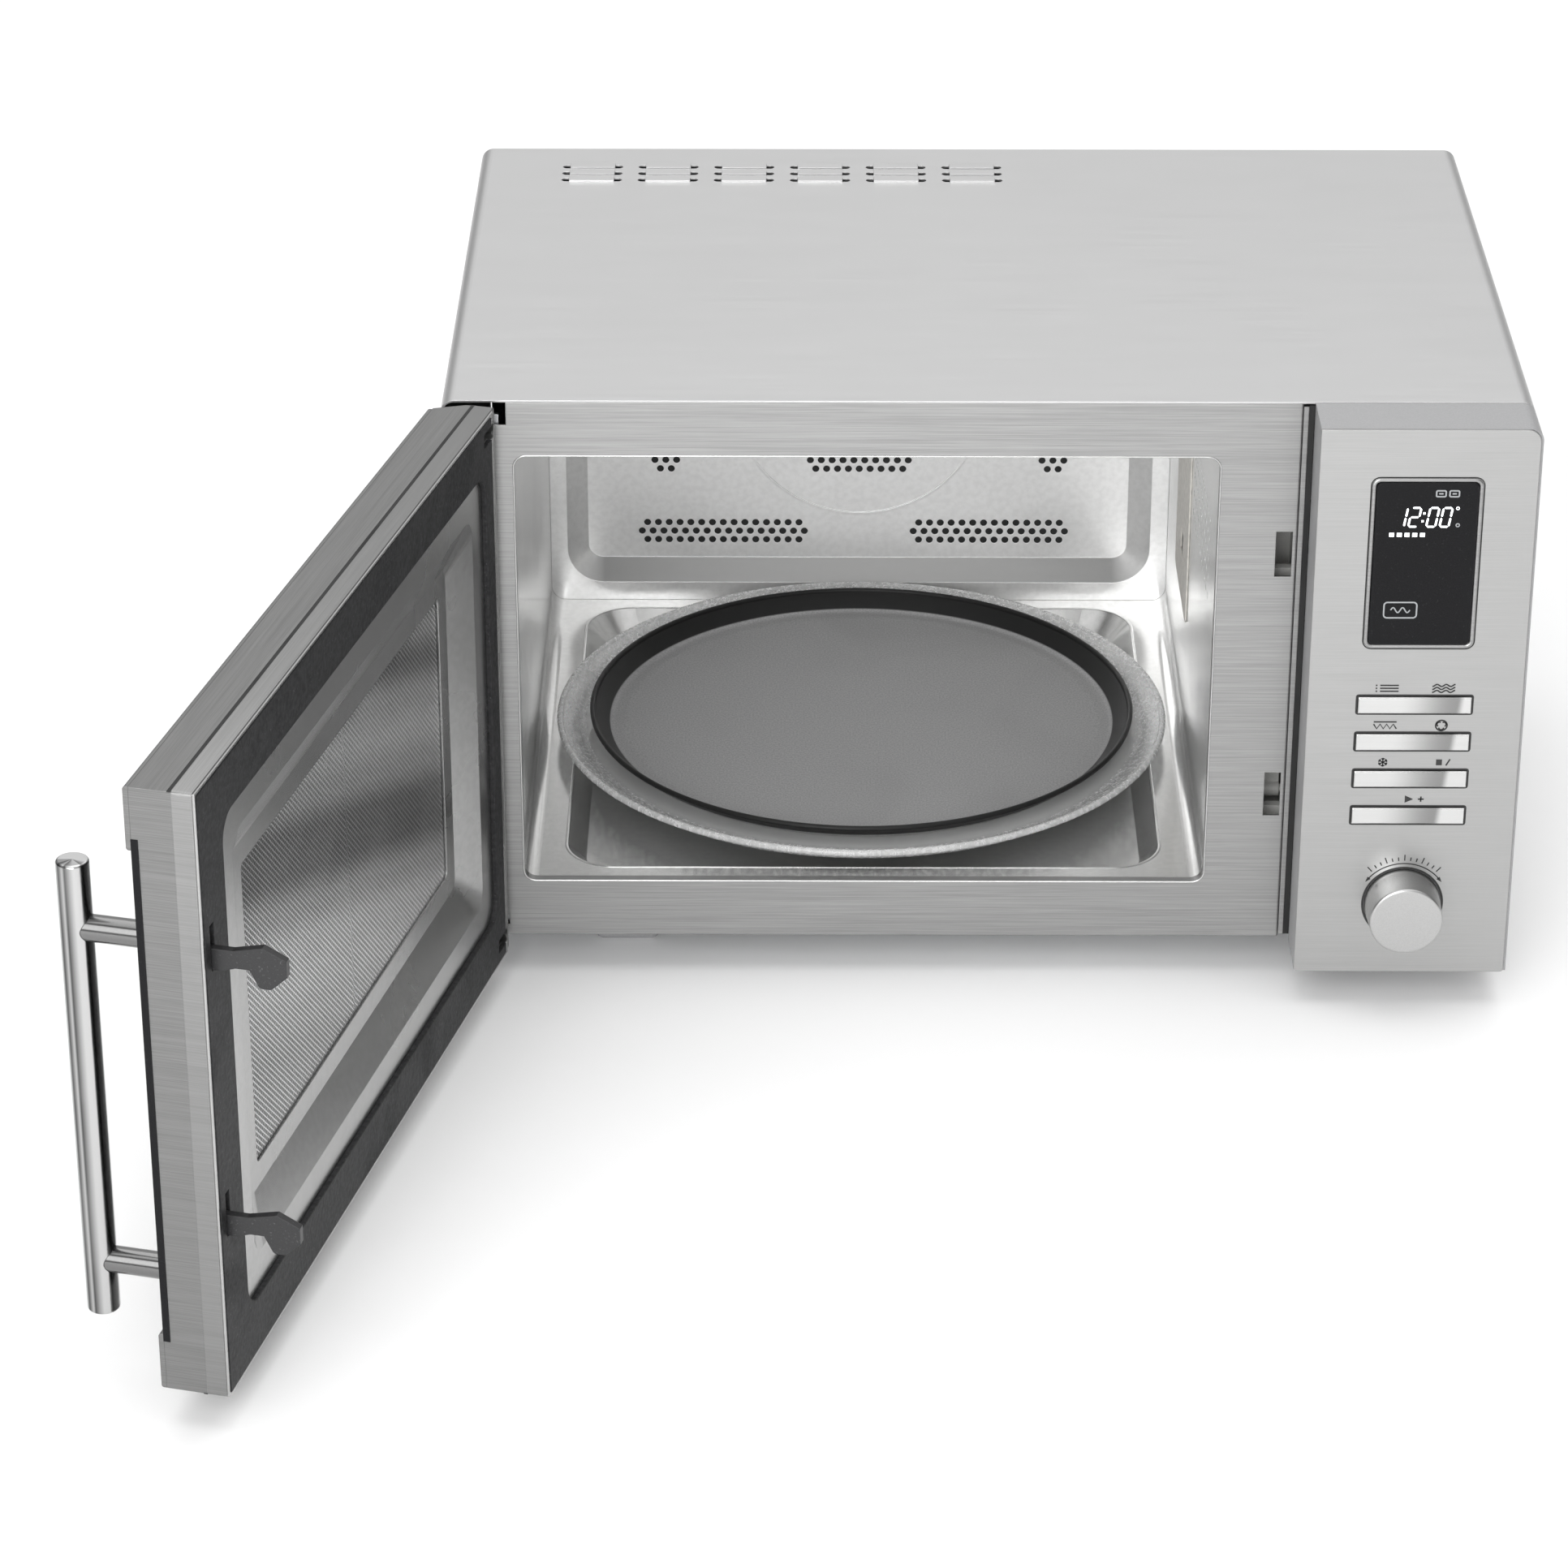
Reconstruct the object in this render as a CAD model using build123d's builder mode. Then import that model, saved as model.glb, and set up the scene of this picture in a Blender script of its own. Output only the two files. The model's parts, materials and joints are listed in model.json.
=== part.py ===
"""Counter-top combination microwave oven, open door, with turntable, grill and convection fan.

Frame: millimetres, +Z up, +Y towards the back, +X to the right when facing the front.
The origin is on the surface the feet stand on, under the middle of the cabinet.
"""

import os
from math import asin, cos, degrees, radians, sin, sqrt

from build123d import *

os.makedirs("parts", exist_ok=True)

# ---------------------------------------------------------------- driving dimensions
WIDTH = 513.0  # cabinet, side to side
DEPTH = 340.0  # cabinet, front plate to back edge of the wrapper
HEIGHT = 286.0  # cabinet without its feet
FOOT_HEIGHT = 20.0
SHEET = 1.0  # steel sheet
CORNER = 6.5  # outer radius of the wrapper's top corners

CAVITY_X = -56.35  # middle of the oven cavity and its opening
MOUTH_WIDTH = 332.5
MOUTH_HEIGHT = 226.0
MOUTH_BOTTOM = 51.4
CAVITY_WIDTH = 335.5
CAVITY_HEIGHT = 229.0
CAVITY_DEPTH = 327.0
RECESS_FLOOR = 40.0  # lowest part of the cavity floor, under the turntable

PANEL_LEFT = 153.3  # control panel block
PANEL_RIGHT = 256.5
PANEL_PROUD = 32.0  # how far the panel and the shut door stand in front of the front plate
CONTROLS_X = 204.0  # centre line of display, buttons and knob

HINGE_X = -246.0
HINGE_AHEAD = 15.5  # hinge axis in front of the front plate
DOOR_OPEN = 104.0  # degrees, as the door stands at rest
DOOR_REACH = 395.5  # hinge axis to free edge
DOOR_INNER = 1.0  # gap from the shut door to the front plate
EDGE_SWING = 15.0  # radius that the hinge side of the door keeps to

TURNTABLE_Y = -5.0
TURNTABLE_RADIUS = 157.5
ROLLER_RADIUS = 6.2
ROLLER_TRACK = 98.0  # radius of the circle the rollers run on
FLOOR_GAP = 0.3  # clearance of each roller to floor and glass
PIN_CLEARANCE = 0.05  # radial running clearance

# ---------------------------------------------------------------- derived places
FRONT = -DEPTH / 2
REAR = DEPTH / 2
BOTTOM = FOOT_HEIGHT
TOP = FOOT_HEIGHT + HEIGHT
CAVITY_BACK = FRONT + CAVITY_DEPTH
CAVITY_Z = MOUTH_BOTTOM + MOUTH_HEIGHT / 2
CAVITY_FLOOR = CAVITY_Z - CAVITY_HEIGHT / 2
CAVITY_RIGHT = CAVITY_X + CAVITY_WIDTH / 2 + SHEET
PANEL_X = (PANEL_LEFT + PANEL_RIGHT) / 2
HINGE_Y = FRONT - HINGE_AHEAD
FREE_EDGE = HINGE_X + DOOR_REACH
GLASS_UNDERSIDE = RECESS_FLOOR + 2 * ROLLER_RADIUS + 2 * FLOOR_GAP
GLASS_TOP = GLASS_UNDERSIDE + 4.0

DOOR_SWING = Pos(HINGE_X, HINGE_Y, 0) * Rot(0, 0, -DOOR_OPEN) * Pos(-HINGE_X, -HINGE_Y, 0)


def ahead(distance):
    """Y of a point that lies the given distance in front of the front plate."""
    return FRONT - distance


def facing(y):
    """Upright plane across the oven at y, facing the front: local x is X, local y is Z."""
    return Plane.XZ.offset(-y)


def write(builder, name, swing=None):
    """Label a finished piece and write it. Door pieces are drawn shut and swung open here."""
    piece = builder.part if swing is None else builder.part.moved(swing)
    piece.label = name
    export_step(piece, f"parts/{name}.step")


# ================================================================ cabinet
LOUVRE_WIDTH = 31.2
LOUVRE_PITCH = 39.5
LOUVRE_ROW = 9.6
LOUVRE_FIRST_X = -212.4 + LOUVRE_WIDTH / 2
LOUVRE_GROUPS = 6
LOUVRE_MIDDLE_Y = FRONT + 303.0
louvre_x = LOUVRE_FIRST_X + LOUVRE_PITCH * (LOUVRE_GROUPS - 1) / 2

with BuildPart() as outer_wrapper:
    with BuildSketch(facing(REAR)):
        with Locations((0, BOTTOM)):
            Rectangle(WIDTH, HEIGHT, align=(Align.CENTER, Align.MIN))
        fillet(vertices().group_by(Axis.Y)[-1], CORNER)
    extrude(amount=DEPTH)
    with BuildSketch(facing(REAR)):
        with Locations((0, BOTTOM + SHEET)):
            Rectangle(WIDTH - 2 * SHEET, HEIGHT - 2 * SHEET, align=(Align.CENTER, Align.MIN))
        fillet(vertices().group_by(Axis.Y)[-1], CORNER - SHEET)
    extrude(amount=DEPTH, mode=Mode.SUBTRACT)
    with BuildSketch(Plane.XY.offset(BOTTOM)):
        Rectangle(WIDTH - 26, DEPTH)
    extrude(amount=SHEET, mode=Mode.SUBTRACT)
    # bridge louvres over slots, near the back on the left
    with BuildSketch(Plane.XY.offset(TOP)):
        with Locations((louvre_x, LOUVRE_MIDDLE_Y)):
            with GridLocations(LOUVRE_PITCH, LOUVRE_ROW, LOUVRE_GROUPS, 3):
                SlotOverall(LOUVRE_WIDTH, 4.4)
    extrude(amount=-SHEET, mode=Mode.SUBTRACT)
    with BuildSketch(Plane.XY.offset(TOP - 0.2)):
        with Locations((louvre_x, LOUVRE_MIDDLE_Y)):
            with GridLocations(LOUVRE_PITCH, LOUVRE_ROW, LOUVRE_GROUPS, 3):
                Rectangle(LOUVRE_WIDTH - 8, 6.4)
    extrude(amount=1.2)
    # intake slots low on the right side, outlet slots high on the left side
    with BuildSketch(Plane.YZ.offset(WIDTH / 2)):
        with Locations((REAR - 70, BOTTOM + 80)):
            with GridLocations(9, 30, 10, 3):
                SlotOverall(22, 4, rotation=90)
    extrude(amount=-SHEET, mode=Mode.SUBTRACT)
    with BuildSketch(Plane.YZ.offset(-WIDTH / 2)):
        with Locations((REAR - 60, TOP - 60)):
            with GridLocations(9, 30, 8, 2):
                SlotOverall(22, 4, rotation=90)
    extrude(amount=SHEET, mode=Mode.SUBTRACT)
write(outer_wrapper, "outer_wrapper")

FEET_FRONT = [(-174.0, ahead(-44)), (205.0, ahead(-44))]
FEET_BACK = [(-210.0, REAR - 34), (210.0, REAR - 34)]
PAN_X = -30.0

with BuildPart() as base_plate:
    with BuildSketch(Plane.XY.offset(BOTTOM + SHEET)):
        Rectangle(WIDTH - 4, DEPTH - 4)
    extrude(amount=16)
    with BuildSketch(Plane.XY.offset(BOTTOM + 2 * SHEET)):
        Rectangle(WIDTH - 4 - 2 * SHEET, DEPTH - 4 - 2 * SHEET)
    extrude(amount=16, mode=Mode.SUBTRACT)
    # shallow pan pressed down between the feet
    with BuildSketch(Plane.XY.offset(BOTTOM + SHEET)):
        with Locations((PAN_X, -10)):
            RectangleRounded(240, 286, 12)
    with BuildSketch(Plane.XY.offset(BOTTOM - 4)):
        with Locations((PAN_X, -10)):
            RectangleRounded(230, 276, 9)
    loft()
    with BuildSketch(Plane.XY.offset(BOTTOM + 2 * SHEET)):
        with Locations((PAN_X, -10)):
            RectangleRounded(238, 284, 11)
    with BuildSketch(Plane.XY.offset(BOTTOM - 4 + SHEET)):
        with Locations((PAN_X, -10)):
            RectangleRounded(228, 274, 8)
    loft(mode=Mode.SUBTRACT)
    # vent slots under the transformer
    with BuildSketch(Plane.XY.offset(BOTTOM + SHEET)):
        with Locations((175, 30)):
            with GridLocations(10, 34, 8, 3):
                SlotOverall(26, 4, rotation=90)
    extrude(amount=SHEET, mode=Mode.SUBTRACT)
    # room for the lower hinge bracket
    with BuildSketch(Plane.XY.offset(BOTTOM + 2 * SHEET)):
        with Locations((-WIDTH / 2, FRONT)):
            Rectangle(32, 8, align=(Align.MIN, Align.MIN))
    extrude(amount=20, mode=Mode.SUBTRACT)
write(base_plate, "base_plate")

with BuildPart() as feet:
    with BuildSketch(Plane.XY.offset(BOTTOM + SHEET)):
        with Locations(*FEET_FRONT, *FEET_BACK):
            RectangleRounded(40, 32, 8)
    extrude(amount=-(FOOT_HEIGHT + SHEET), taper=14)
    chamfer(feet.edges().group_by(Axis.Z)[0], 1.2)
write(feet, "feet")

HOUSING_RADIUS = 114.0
REAR_COVER_BACK = REAR + 58
PANEL_SCREWS = [(-240, 46), (-240, 288), (120, 288), (240, 288), (240, 160), (240, 46), (120, 46)]
CORD_PLACE = (205.0, 70.0)

with BuildPart() as rear_panel:
    with BuildSketch(facing(REAR - 0.2)):
        with Locations((0, BOTTOM + HEIGHT / 2 + SHEET)):
            Rectangle(WIDTH - 3, HEIGHT - 5)
        fillet(vertices().group_by(Axis.Y)[-1], CORNER - SHEET)
        with Locations((CAVITY_X, CAVITY_Z)):
            Circle(HOUSING_RADIUS + 2, mode=Mode.SUBTRACT)
        with Locations(*PANEL_SCREWS):
            Circle(2.0, mode=Mode.SUBTRACT)
        with Locations(CORD_PLACE):
            Circle(6.5, mode=Mode.SUBTRACT)
        with Locations((195, 230)):
            with GridLocations(9, 30, 9, 3):
                SlotOverall(22, 4, rotation=90, mode=Mode.SUBTRACT)
    extrude(amount=SHEET)
write(rear_panel, "rear_panel")

with BuildPart() as case_screws:
    with BuildSketch(facing(REAR - 0.2)):
        with Locations(*PANEL_SCREWS):
            Circle(4.0)
    extrude(amount=-2.2)
    chamfer(case_screws.edges().group_by(Axis.Y)[-1], 0.6)
    with BuildSketch(facing(REAR - 0.2)):
        with Locations(*PANEL_SCREWS):
            Circle(1.7)
    extrude(amount=7)
    with BuildSketch(facing(REAR + 2.0)):
        with Locations(*PANEL_SCREWS):
            Rectangle(4.6, 0.9)
            Rectangle(0.9, 4.6)
    extrude(amount=1.2, mode=Mode.SUBTRACT)
write(case_screws, "case_screws")

with BuildPart() as cord_bush:
    with BuildSketch(facing(REAR + 3.8)):
        with Locations(CORD_PLACE):
            Circle(9)
    extrude(amount=4.0)
    with BuildSketch(facing(REAR - 0.2)):
        with Locations(CORD_PLACE):
            Circle(6.3)
    extrude(amount=8)
    with BuildSketch(facing(REAR + 3.8)):
        with Locations(CORD_PLACE):
            Circle(3.6)
    extrude(amount=12, mode=Mode.SUBTRACT)
    fillet(cord_bush.edges().filter_by(GeomType.CIRCLE).group_by(Axis.Y)[-1], 0.8)
write(cord_bush, "cord_bush")

COVER_WIDTH = 262.0
COVER_HEIGHT = 250.0

with BuildPart() as rear_cover:
    with BuildSketch(facing(REAR)):
        with Locations((CAVITY_X, CAVITY_Z)):
            RectangleRounded(COVER_WIDTH, COVER_HEIGHT, 14)
    with BuildSketch(facing(REAR_COVER_BACK)):
        with Locations((CAVITY_X, CAVITY_Z)):
            RectangleRounded(COVER_WIDTH - 36, COVER_HEIGHT - 36, 14)
    loft()
    with BuildSketch(facing(REAR)):
        with Locations((CAVITY_X, CAVITY_Z)):
            RectangleRounded(COVER_WIDTH - 2.4, COVER_HEIGHT - 2.4, 13)
    with BuildSketch(facing(REAR_COVER_BACK - SHEET)):
        with Locations((CAVITY_X, CAVITY_Z)):
            RectangleRounded(COVER_WIDTH - 38.4, COVER_HEIGHT - 38.4, 13)
    loft(mode=Mode.SUBTRACT)
    with BuildSketch(facing(REAR_COVER_BACK)):
        with Locations((CAVITY_X, CAVITY_Z)):
            with GridLocations(10, 44, 15, 3):
                SlotOverall(34, 4, rotation=90)
    extrude(amount=2 * SHEET, mode=Mode.SUBTRACT)
write(rear_cover, "rear_cover")

# ---------------------------------------------------------------- front plate
PLATE = 1.2
PLATE_LEFT = -WIDTH / 2 + SHEET + 0.1
PLATE_RIGHT = 148.0
PLATE_RETURN = 5.5
PLATE_BOTTOM = BOTTOM + 1.0
PLATE_TOP = TOP - SHEET - 0.1
SLOT_X = 141.7
SLOT_UPPER = BOTTOM + 207.7
SLOT_LOWER = BOTTOM + 79.6
SLOT_WIDTH = 7.8
SLOT_HEIGHT = 23.4
UPPER_TONGUE = TOP - 9.0  # middle height of the two hinge tongues
LOWER_TONGUE = BOTTOM + 9.0

with BuildPart() as front_frame:
    with BuildSketch(facing(FRONT)):
        with Locations(((PLATE_LEFT + PLATE_RIGHT) / 2, (PLATE_BOTTOM + PLATE_TOP) / 2)):
            Rectangle(PLATE_RIGHT - PLATE_LEFT, PLATE_TOP - PLATE_BOTTOM)
        fillet(vertices().group_by(Axis.Y)[-1].sort_by(Axis.X)[0], 5.4)
    extrude(amount=-PLATE)
    # the right edge turns back towards the control compartment
    with BuildSketch(Plane.XY.offset(PLATE_BOTTOM + 17)):
        with Locations((PLATE_RIGHT, FRONT)):
            Rectangle(PLATE, PLATE_RETURN, align=(Align.MAX, Align.MIN))
    extrude(amount=PLATE_TOP - PLATE_BOTTOM - 17)
    fillet(
        front_frame.edges().filter_by(Axis.Z).group_by(Axis.Y)[0].sort_by(Axis.X)[-1], 1.1
    )
    # mouth with its turned-in lip
    with BuildSketch(facing(FRONT)):
        with Locations((CAVITY_X, CAVITY_Z)):
            RectangleRounded(MOUTH_WIDTH + 2, MOUTH_HEIGHT + 2, 7)
    extrude(amount=-4.5)
    with BuildSketch(facing(FRONT)):
        with Locations((CAVITY_X, CAVITY_Z)):
            RectangleRounded(MOUTH_WIDTH, MOUTH_HEIGHT, 6)
    extrude(amount=-4.5, mode=Mode.SUBTRACT)
    # slots for the latch hooks, and corner cut-outs for the hinge tongues
    with BuildSketch(facing(FRONT)):
        with Locations((SLOT_X, SLOT_UPPER), (SLOT_X, SLOT_LOWER)):
            Rectangle(SLOT_WIDTH, SLOT_HEIGHT)
        with Locations((HINGE_X + 4, UPPER_TONGUE + 4)):
            Rectangle(32, 15)
        with Locations((HINGE_X + 2, LOWER_TONGUE)):
            Rectangle(27, 5)
    extrude(amount=-PLATE, mode=Mode.SUBTRACT)
write(front_frame, "front_frame")

TONGUE = 2.0  # thickness of the hinge tongues
TONGUE_WIDTH = 16.0
HINGE_PIN = 3.0  # radius
PIN_LENGTH = 10.0

with BuildPart() as upper_hinge_bracket:
    with BuildSketch(Plane.XY.offset(UPPER_TONGUE - TONGUE / 2)):
        with Locations((HINGE_X, HINGE_Y)):
            Circle(TONGUE_WIDTH / 2)
            Rectangle(TONGUE_WIDTH, HINGE_AHEAD + 4, align=(Align.CENTER, Align.MIN))
    extrude(amount=TONGUE)
    with BuildSketch(facing(FRONT + 4)):
        with Locations((HINGE_X + 4, UPPER_TONGUE + TONGUE / 2)):
            Rectangle(25, 34, align=(Align.CENTER, Align.MAX))
        with Locations((HINGE_X + 4, UPPER_TONGUE - 12), (HINGE_X + 4, UPPER_TONGUE - 26)):
            Circle(2, mode=Mode.SUBTRACT)
    extrude(amount=TONGUE)
    with BuildSketch(Plane.XY.offset(UPPER_TONGUE - TONGUE / 2)):
        with Locations((HINGE_X, HINGE_Y)):
            Circle(HINGE_PIN)
    extrude(amount=-PIN_LENGTH)
    upper_pin_tip = (HINGE_X, HINGE_Y, UPPER_TONGUE - PIN_LENGTH - 1)
    chamfer(upper_hinge_bracket.faces().filter_by(Plane.XY).sort_by_distance(upper_pin_tip)[0].edges(), 0.6)
write(upper_hinge_bracket, "upper_hinge_bracket")

with BuildPart() as lower_hinge_bracket:
    with BuildSketch(Plane.XY.offset(LOWER_TONGUE - TONGUE / 2)):
        with Locations((HINGE_X, HINGE_Y)):
            Circle(TONGUE_WIDTH / 2)
            Rectangle(TONGUE_WIDTH, HINGE_AHEAD + 4, align=(Align.CENTER, Align.MIN))
    extrude(amount=TONGUE)
    with BuildSketch(facing(FRONT + 4)):
        with Locations((HINGE_X + 4, LOWER_TONGUE - TONGUE / 2)):
            Rectangle(25, 34, align=(Align.CENTER, Align.MIN))
        with Locations((HINGE_X + 4, LOWER_TONGUE + 12), (HINGE_X + 4, LOWER_TONGUE + 26)):
            Circle(2, mode=Mode.SUBTRACT)
    extrude(amount=TONGUE)
    with BuildSketch(Plane.XY.offset(LOWER_TONGUE + TONGUE / 2)):
        with Locations((HINGE_X, HINGE_Y)):
            Circle(HINGE_PIN)
    extrude(amount=PIN_LENGTH)
    lower_pin_tip = (HINGE_X, HINGE_Y, LOWER_TONGUE + PIN_LENGTH + 1)
    chamfer(lower_hinge_bracket.faces().filter_by(Plane.XY).sort_by_distance(lower_pin_tip)[0].edges(), 0.6)
write(lower_hinge_bracket, "lower_hinge_bracket")

# ================================================================ cavity
RECESS_WIDTH = 294.0
RECESS_LENGTH = 299.0
RECESS_Y = FRONT + 166.5
RECESS_SLOPE = 9.0
GUIDE_Y = FRONT + 216.0  # middle of the waveguide's mouth
GUIDE_Z = BOTTOM + 138.0
GUIDE_LENGTH = 74.0
GUIDE_HEIGHT = 88.0
LAMP_Y = FRONT + 110.0
LAMP_Z = BOTTOM + 178.0
GRILL_Z = CAVITY_FLOOR + CAVITY_HEIGHT - 9.0
GRILL_ENTRY = [FRONT + 90.0, FRONT + 126.0]
GRILL_TUBE = 3.2  # radius

with BuildPart() as cavity_shell:
    with BuildSketch(facing(CAVITY_BACK + SHEET)):
        with Locations((CAVITY_X, CAVITY_Z)):
            RectangleRounded(CAVITY_WIDTH + 2 * SHEET, CAVITY_HEIGHT + 2 * SHEET, 9)
            RectangleRounded(CAVITY_WIDTH, CAVITY_HEIGHT, 8, mode=Mode.SUBTRACT)
    extrude(amount=CAVITY_DEPTH + SHEET - PLATE)
    # floor recess under the turntable
    with BuildSketch(Plane.XY.offset(CAVITY_FLOOR)):
        with Locations((CAVITY_X, RECESS_Y)):
            RectangleRounded(RECESS_WIDTH + 2, RECESS_LENGTH + 2, 26)
    with BuildSketch(Plane.XY.offset(RECESS_FLOOR - SHEET)):
        with Locations((CAVITY_X, RECESS_Y)):
            RectangleRounded(RECESS_WIDTH + 2 - 2 * RECESS_SLOPE, RECESS_LENGTH + 2 - 2 * RECESS_SLOPE, 20)
    loft()
    with BuildSketch(Plane.XY.offset(CAVITY_FLOOR)):
        with Locations((CAVITY_X, RECESS_Y)):
            RectangleRounded(RECESS_WIDTH, RECESS_LENGTH, 25)
    with BuildSketch(Plane.XY.offset(RECESS_FLOOR)):
        with Locations((CAVITY_X, RECESS_Y)):
            RectangleRounded(RECESS_WIDTH - 2 * RECESS_SLOPE, RECESS_LENGTH - 2 * RECESS_SLOPE, 19)
    loft(mode=Mode.SUBTRACT)
    # bore for the turntable shaft
    with BuildSketch(Plane.XY.offset(RECESS_FLOOR)):
        with Locations((CAVITY_X, TURNTABLE_Y)):
            Circle(6.5)
    extrude(amount=-2 * SHEET, mode=Mode.SUBTRACT)
    # right wall: waveguide mouth, lamp perforations, grill feed-throughs
    with BuildSketch(Plane.YZ.offset(CAVITY_RIGHT)):
        with Locations((GUIDE_Y, GUIDE_Z)):
            Rectangle(GUIDE_LENGTH - 8, GUIDE_HEIGHT - 8)
        with Locations((LAMP_Y, LAMP_Z)):
            with GridLocations(10, 10, 11, 5):
                Circle(1.9)
        with Locations(*[(y, GRILL_Z) for y in GRILL_ENTRY]):
            Circle(GRILL_TUBE + 0.8)
    extrude(amount=-2 * SHEET, mode=Mode.SUBTRACT)
    # left wall: steam outlet perforations near the back
    with BuildSketch(Plane.YZ.offset(CAVITY_X - CAVITY_WIDTH / 2)):
        with Locations((CAVITY_BACK - 60, CAVITY_Z + 70)):
            with GridLocations(7, 7, 9, 4):
                Circle(1.9)
    extrude(amount=-2 * SHEET, mode=Mode.SUBTRACT)
write(cavity_shell, "cavity_shell")

# back wall: dished panel with round perforations
PRESS_DEPTH = 10.0
HOLE = 1.9  # radius of the air holes
HOLE_PITCH = 5.9
ROW_PITCH = 5.1
BACK_OUTER = (317.0, 208.0, CAVITY_X - 0.15, BOTTOM + 144.5)
BACK_INNER = (294.0, 187.0, CAVITY_X - 0.65, BOTTOM + 144.5)


def hex_rows(x, z, counts):
    """Places of holes in staggered rows about a middle point, one entry of counts per row."""
    middle = (len(counts) - 1) / 2
    return [
        (x + (column - (count - 1) / 2) * HOLE_PITCH, z + (row - middle) * ROW_PITCH)
        for row, count in enumerate(counts)
        for column in range(count)
    ]


air_z = BOTTOM + 144.5
air_holes = hex_rows(CAVITY_X, air_z, [17 - abs(row - 8) for row in range(17)])
for side, strip_x, strip in ((-1, -74, [15, 16, 15]), (1, 71, [14, 15, 14])):
    for strip_z in (air_z - 77.8, air_z + 77.8):
        air_holes += hex_rows(CAVITY_X + strip_x, strip_z, strip)
    air_holes += hex_rows(CAVITY_X + side * 105, air_z, [3 if row % 2 else 2 for row in range(17)])

with BuildPart() as cavity_back_wall:
    with BuildSketch(facing(CAVITY_BACK + SHEET)):
        with Locations((CAVITY_X, CAVITY_Z)):
            RectangleRounded(CAVITY_WIDTH - 0.1, CAVITY_HEIGHT - 0.1, 7.95)
    extrude(amount=SHEET)
    with BuildSketch(facing(CAVITY_BACK)):
        with Locations(BACK_OUTER[2:]):
            RectangleRounded(BACK_OUTER[0] + 2, BACK_OUTER[1] + 2, 21)
    with BuildSketch(facing(CAVITY_BACK + PRESS_DEPTH + SHEET)):
        with Locations(BACK_INNER[2:]):
            RectangleRounded(BACK_INNER[0] + 2, BACK_INNER[1] + 2, 9)
    loft()
    with BuildSketch(facing(CAVITY_BACK)):
        with Locations(BACK_OUTER[2:]):
            RectangleRounded(BACK_OUTER[0], BACK_OUTER[1], 20)
    with BuildSketch(facing(CAVITY_BACK + PRESS_DEPTH)):
        with Locations(BACK_INNER[2:]):
            RectangleRounded(BACK_INNER[0], BACK_INNER[1], 8)
    loft(mode=Mode.SUBTRACT)
    # raised ring in front of the fan
    with BuildSketch(facing(CAVITY_BACK + PRESS_DEPTH)):
        with Locations((CAVITY_X, air_z)):
            Circle(67.6)
            Circle(66.4, mode=Mode.SUBTRACT)
    extrude(amount=0.6)
    with BuildSketch(facing(CAVITY_BACK + PRESS_DEPTH - 1)):
        with Locations(*air_holes):
            Circle(HOLE)
    extrude(amount=-(SHEET + 2), mode=Mode.SUBTRACT)
write(cavity_back_wall, "cavity_back_wall")

HOUSING_FRONT = CAVITY_BACK + PRESS_DEPTH + SHEET + 0.1
HOUSING_BACK = HOUSING_FRONT + 28
FAN_HUB_Y = HOUSING_FRONT + 5

with BuildPart() as convection_housing:
    with BuildSketch(facing(HOUSING_FRONT)):
        with Locations((CAVITY_X, CAVITY_Z)):
            Circle(HOUSING_RADIUS + 8)
    extrude(amount=-0.6)
    with BuildSketch(facing(HOUSING_FRONT)):
        with Locations((CAVITY_X, CAVITY_Z)):
            Circle(HOUSING_RADIUS)
    extrude(amount=-28)
    with BuildSketch(facing(HOUSING_FRONT)):
        with Locations((CAVITY_X, CAVITY_Z)):
            Circle(HOUSING_RADIUS - SHEET)
    extrude(amount=-(28 - SHEET), mode=Mode.SUBTRACT)
    with BuildSketch(facing(HOUSING_BACK)):
        with Locations((CAVITY_X, CAVITY_Z)):
            Circle(4)
        with Locations((CAVITY_X - 9, CAVITY_Z + 96), (CAVITY_X + 9, CAVITY_Z + 96)):
            Circle(4)
    extrude(amount=2 * SHEET, mode=Mode.SUBTRACT)
write(convection_housing, "convection_housing")

HEATER_RING = 96.0
HEATER_TUBE = 3.5
heater_gap = 9.0
heater_y = HOUSING_FRONT + 13
gap_angle = degrees(asin(heater_gap / HEATER_RING))

with BuildPart() as convection_heater:
    with BuildLine(facing(heater_y)) as heater_path:
        CenterArc((CAVITY_X, CAVITY_Z), HEATER_RING, 90 + gap_angle, 360 - 2 * gap_angle)
    with BuildSketch(Plane(heater_path.line @ 0, z_dir=heater_path.line % 0)):
        Circle(HEATER_TUBE)
    sweep()
    with BuildSketch(facing(heater_y)):
        with Locations((CAVITY_X - heater_gap, CAVITY_Z + 96), (CAVITY_X + heater_gap, CAVITY_Z + 96)):
            Circle(HEATER_TUBE - 0.5)
    extrude(amount=-24)
write(convection_heater, "convection_heater")

with BuildPart() as convection_fan:
    with BuildSketch(facing(FAN_HUB_Y + 14)):
        with Locations((CAVITY_X, CAVITY_Z)):
            Circle(72)
    extrude(amount=0.8)
    with BuildSketch(facing(FAN_HUB_Y + 14)):
        with Locations((CAVITY_X, CAVITY_Z)):
            with PolarLocations(50, 12):
                Rectangle(40, 1.0, rotation=14)
    extrude(amount=14)
    with BuildSketch(facing(FAN_HUB_Y + 14)):
        with Locations((CAVITY_X, CAVITY_Z)):
            Circle(9)
    extrude(amount=10)
    with BuildSketch(facing(FAN_HUB_Y + 5)):
        with Locations((CAVITY_X, CAVITY_Z)):
            Circle(3)
    extrude(amount=-38)
write(convection_fan, "convection_fan")

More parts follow.
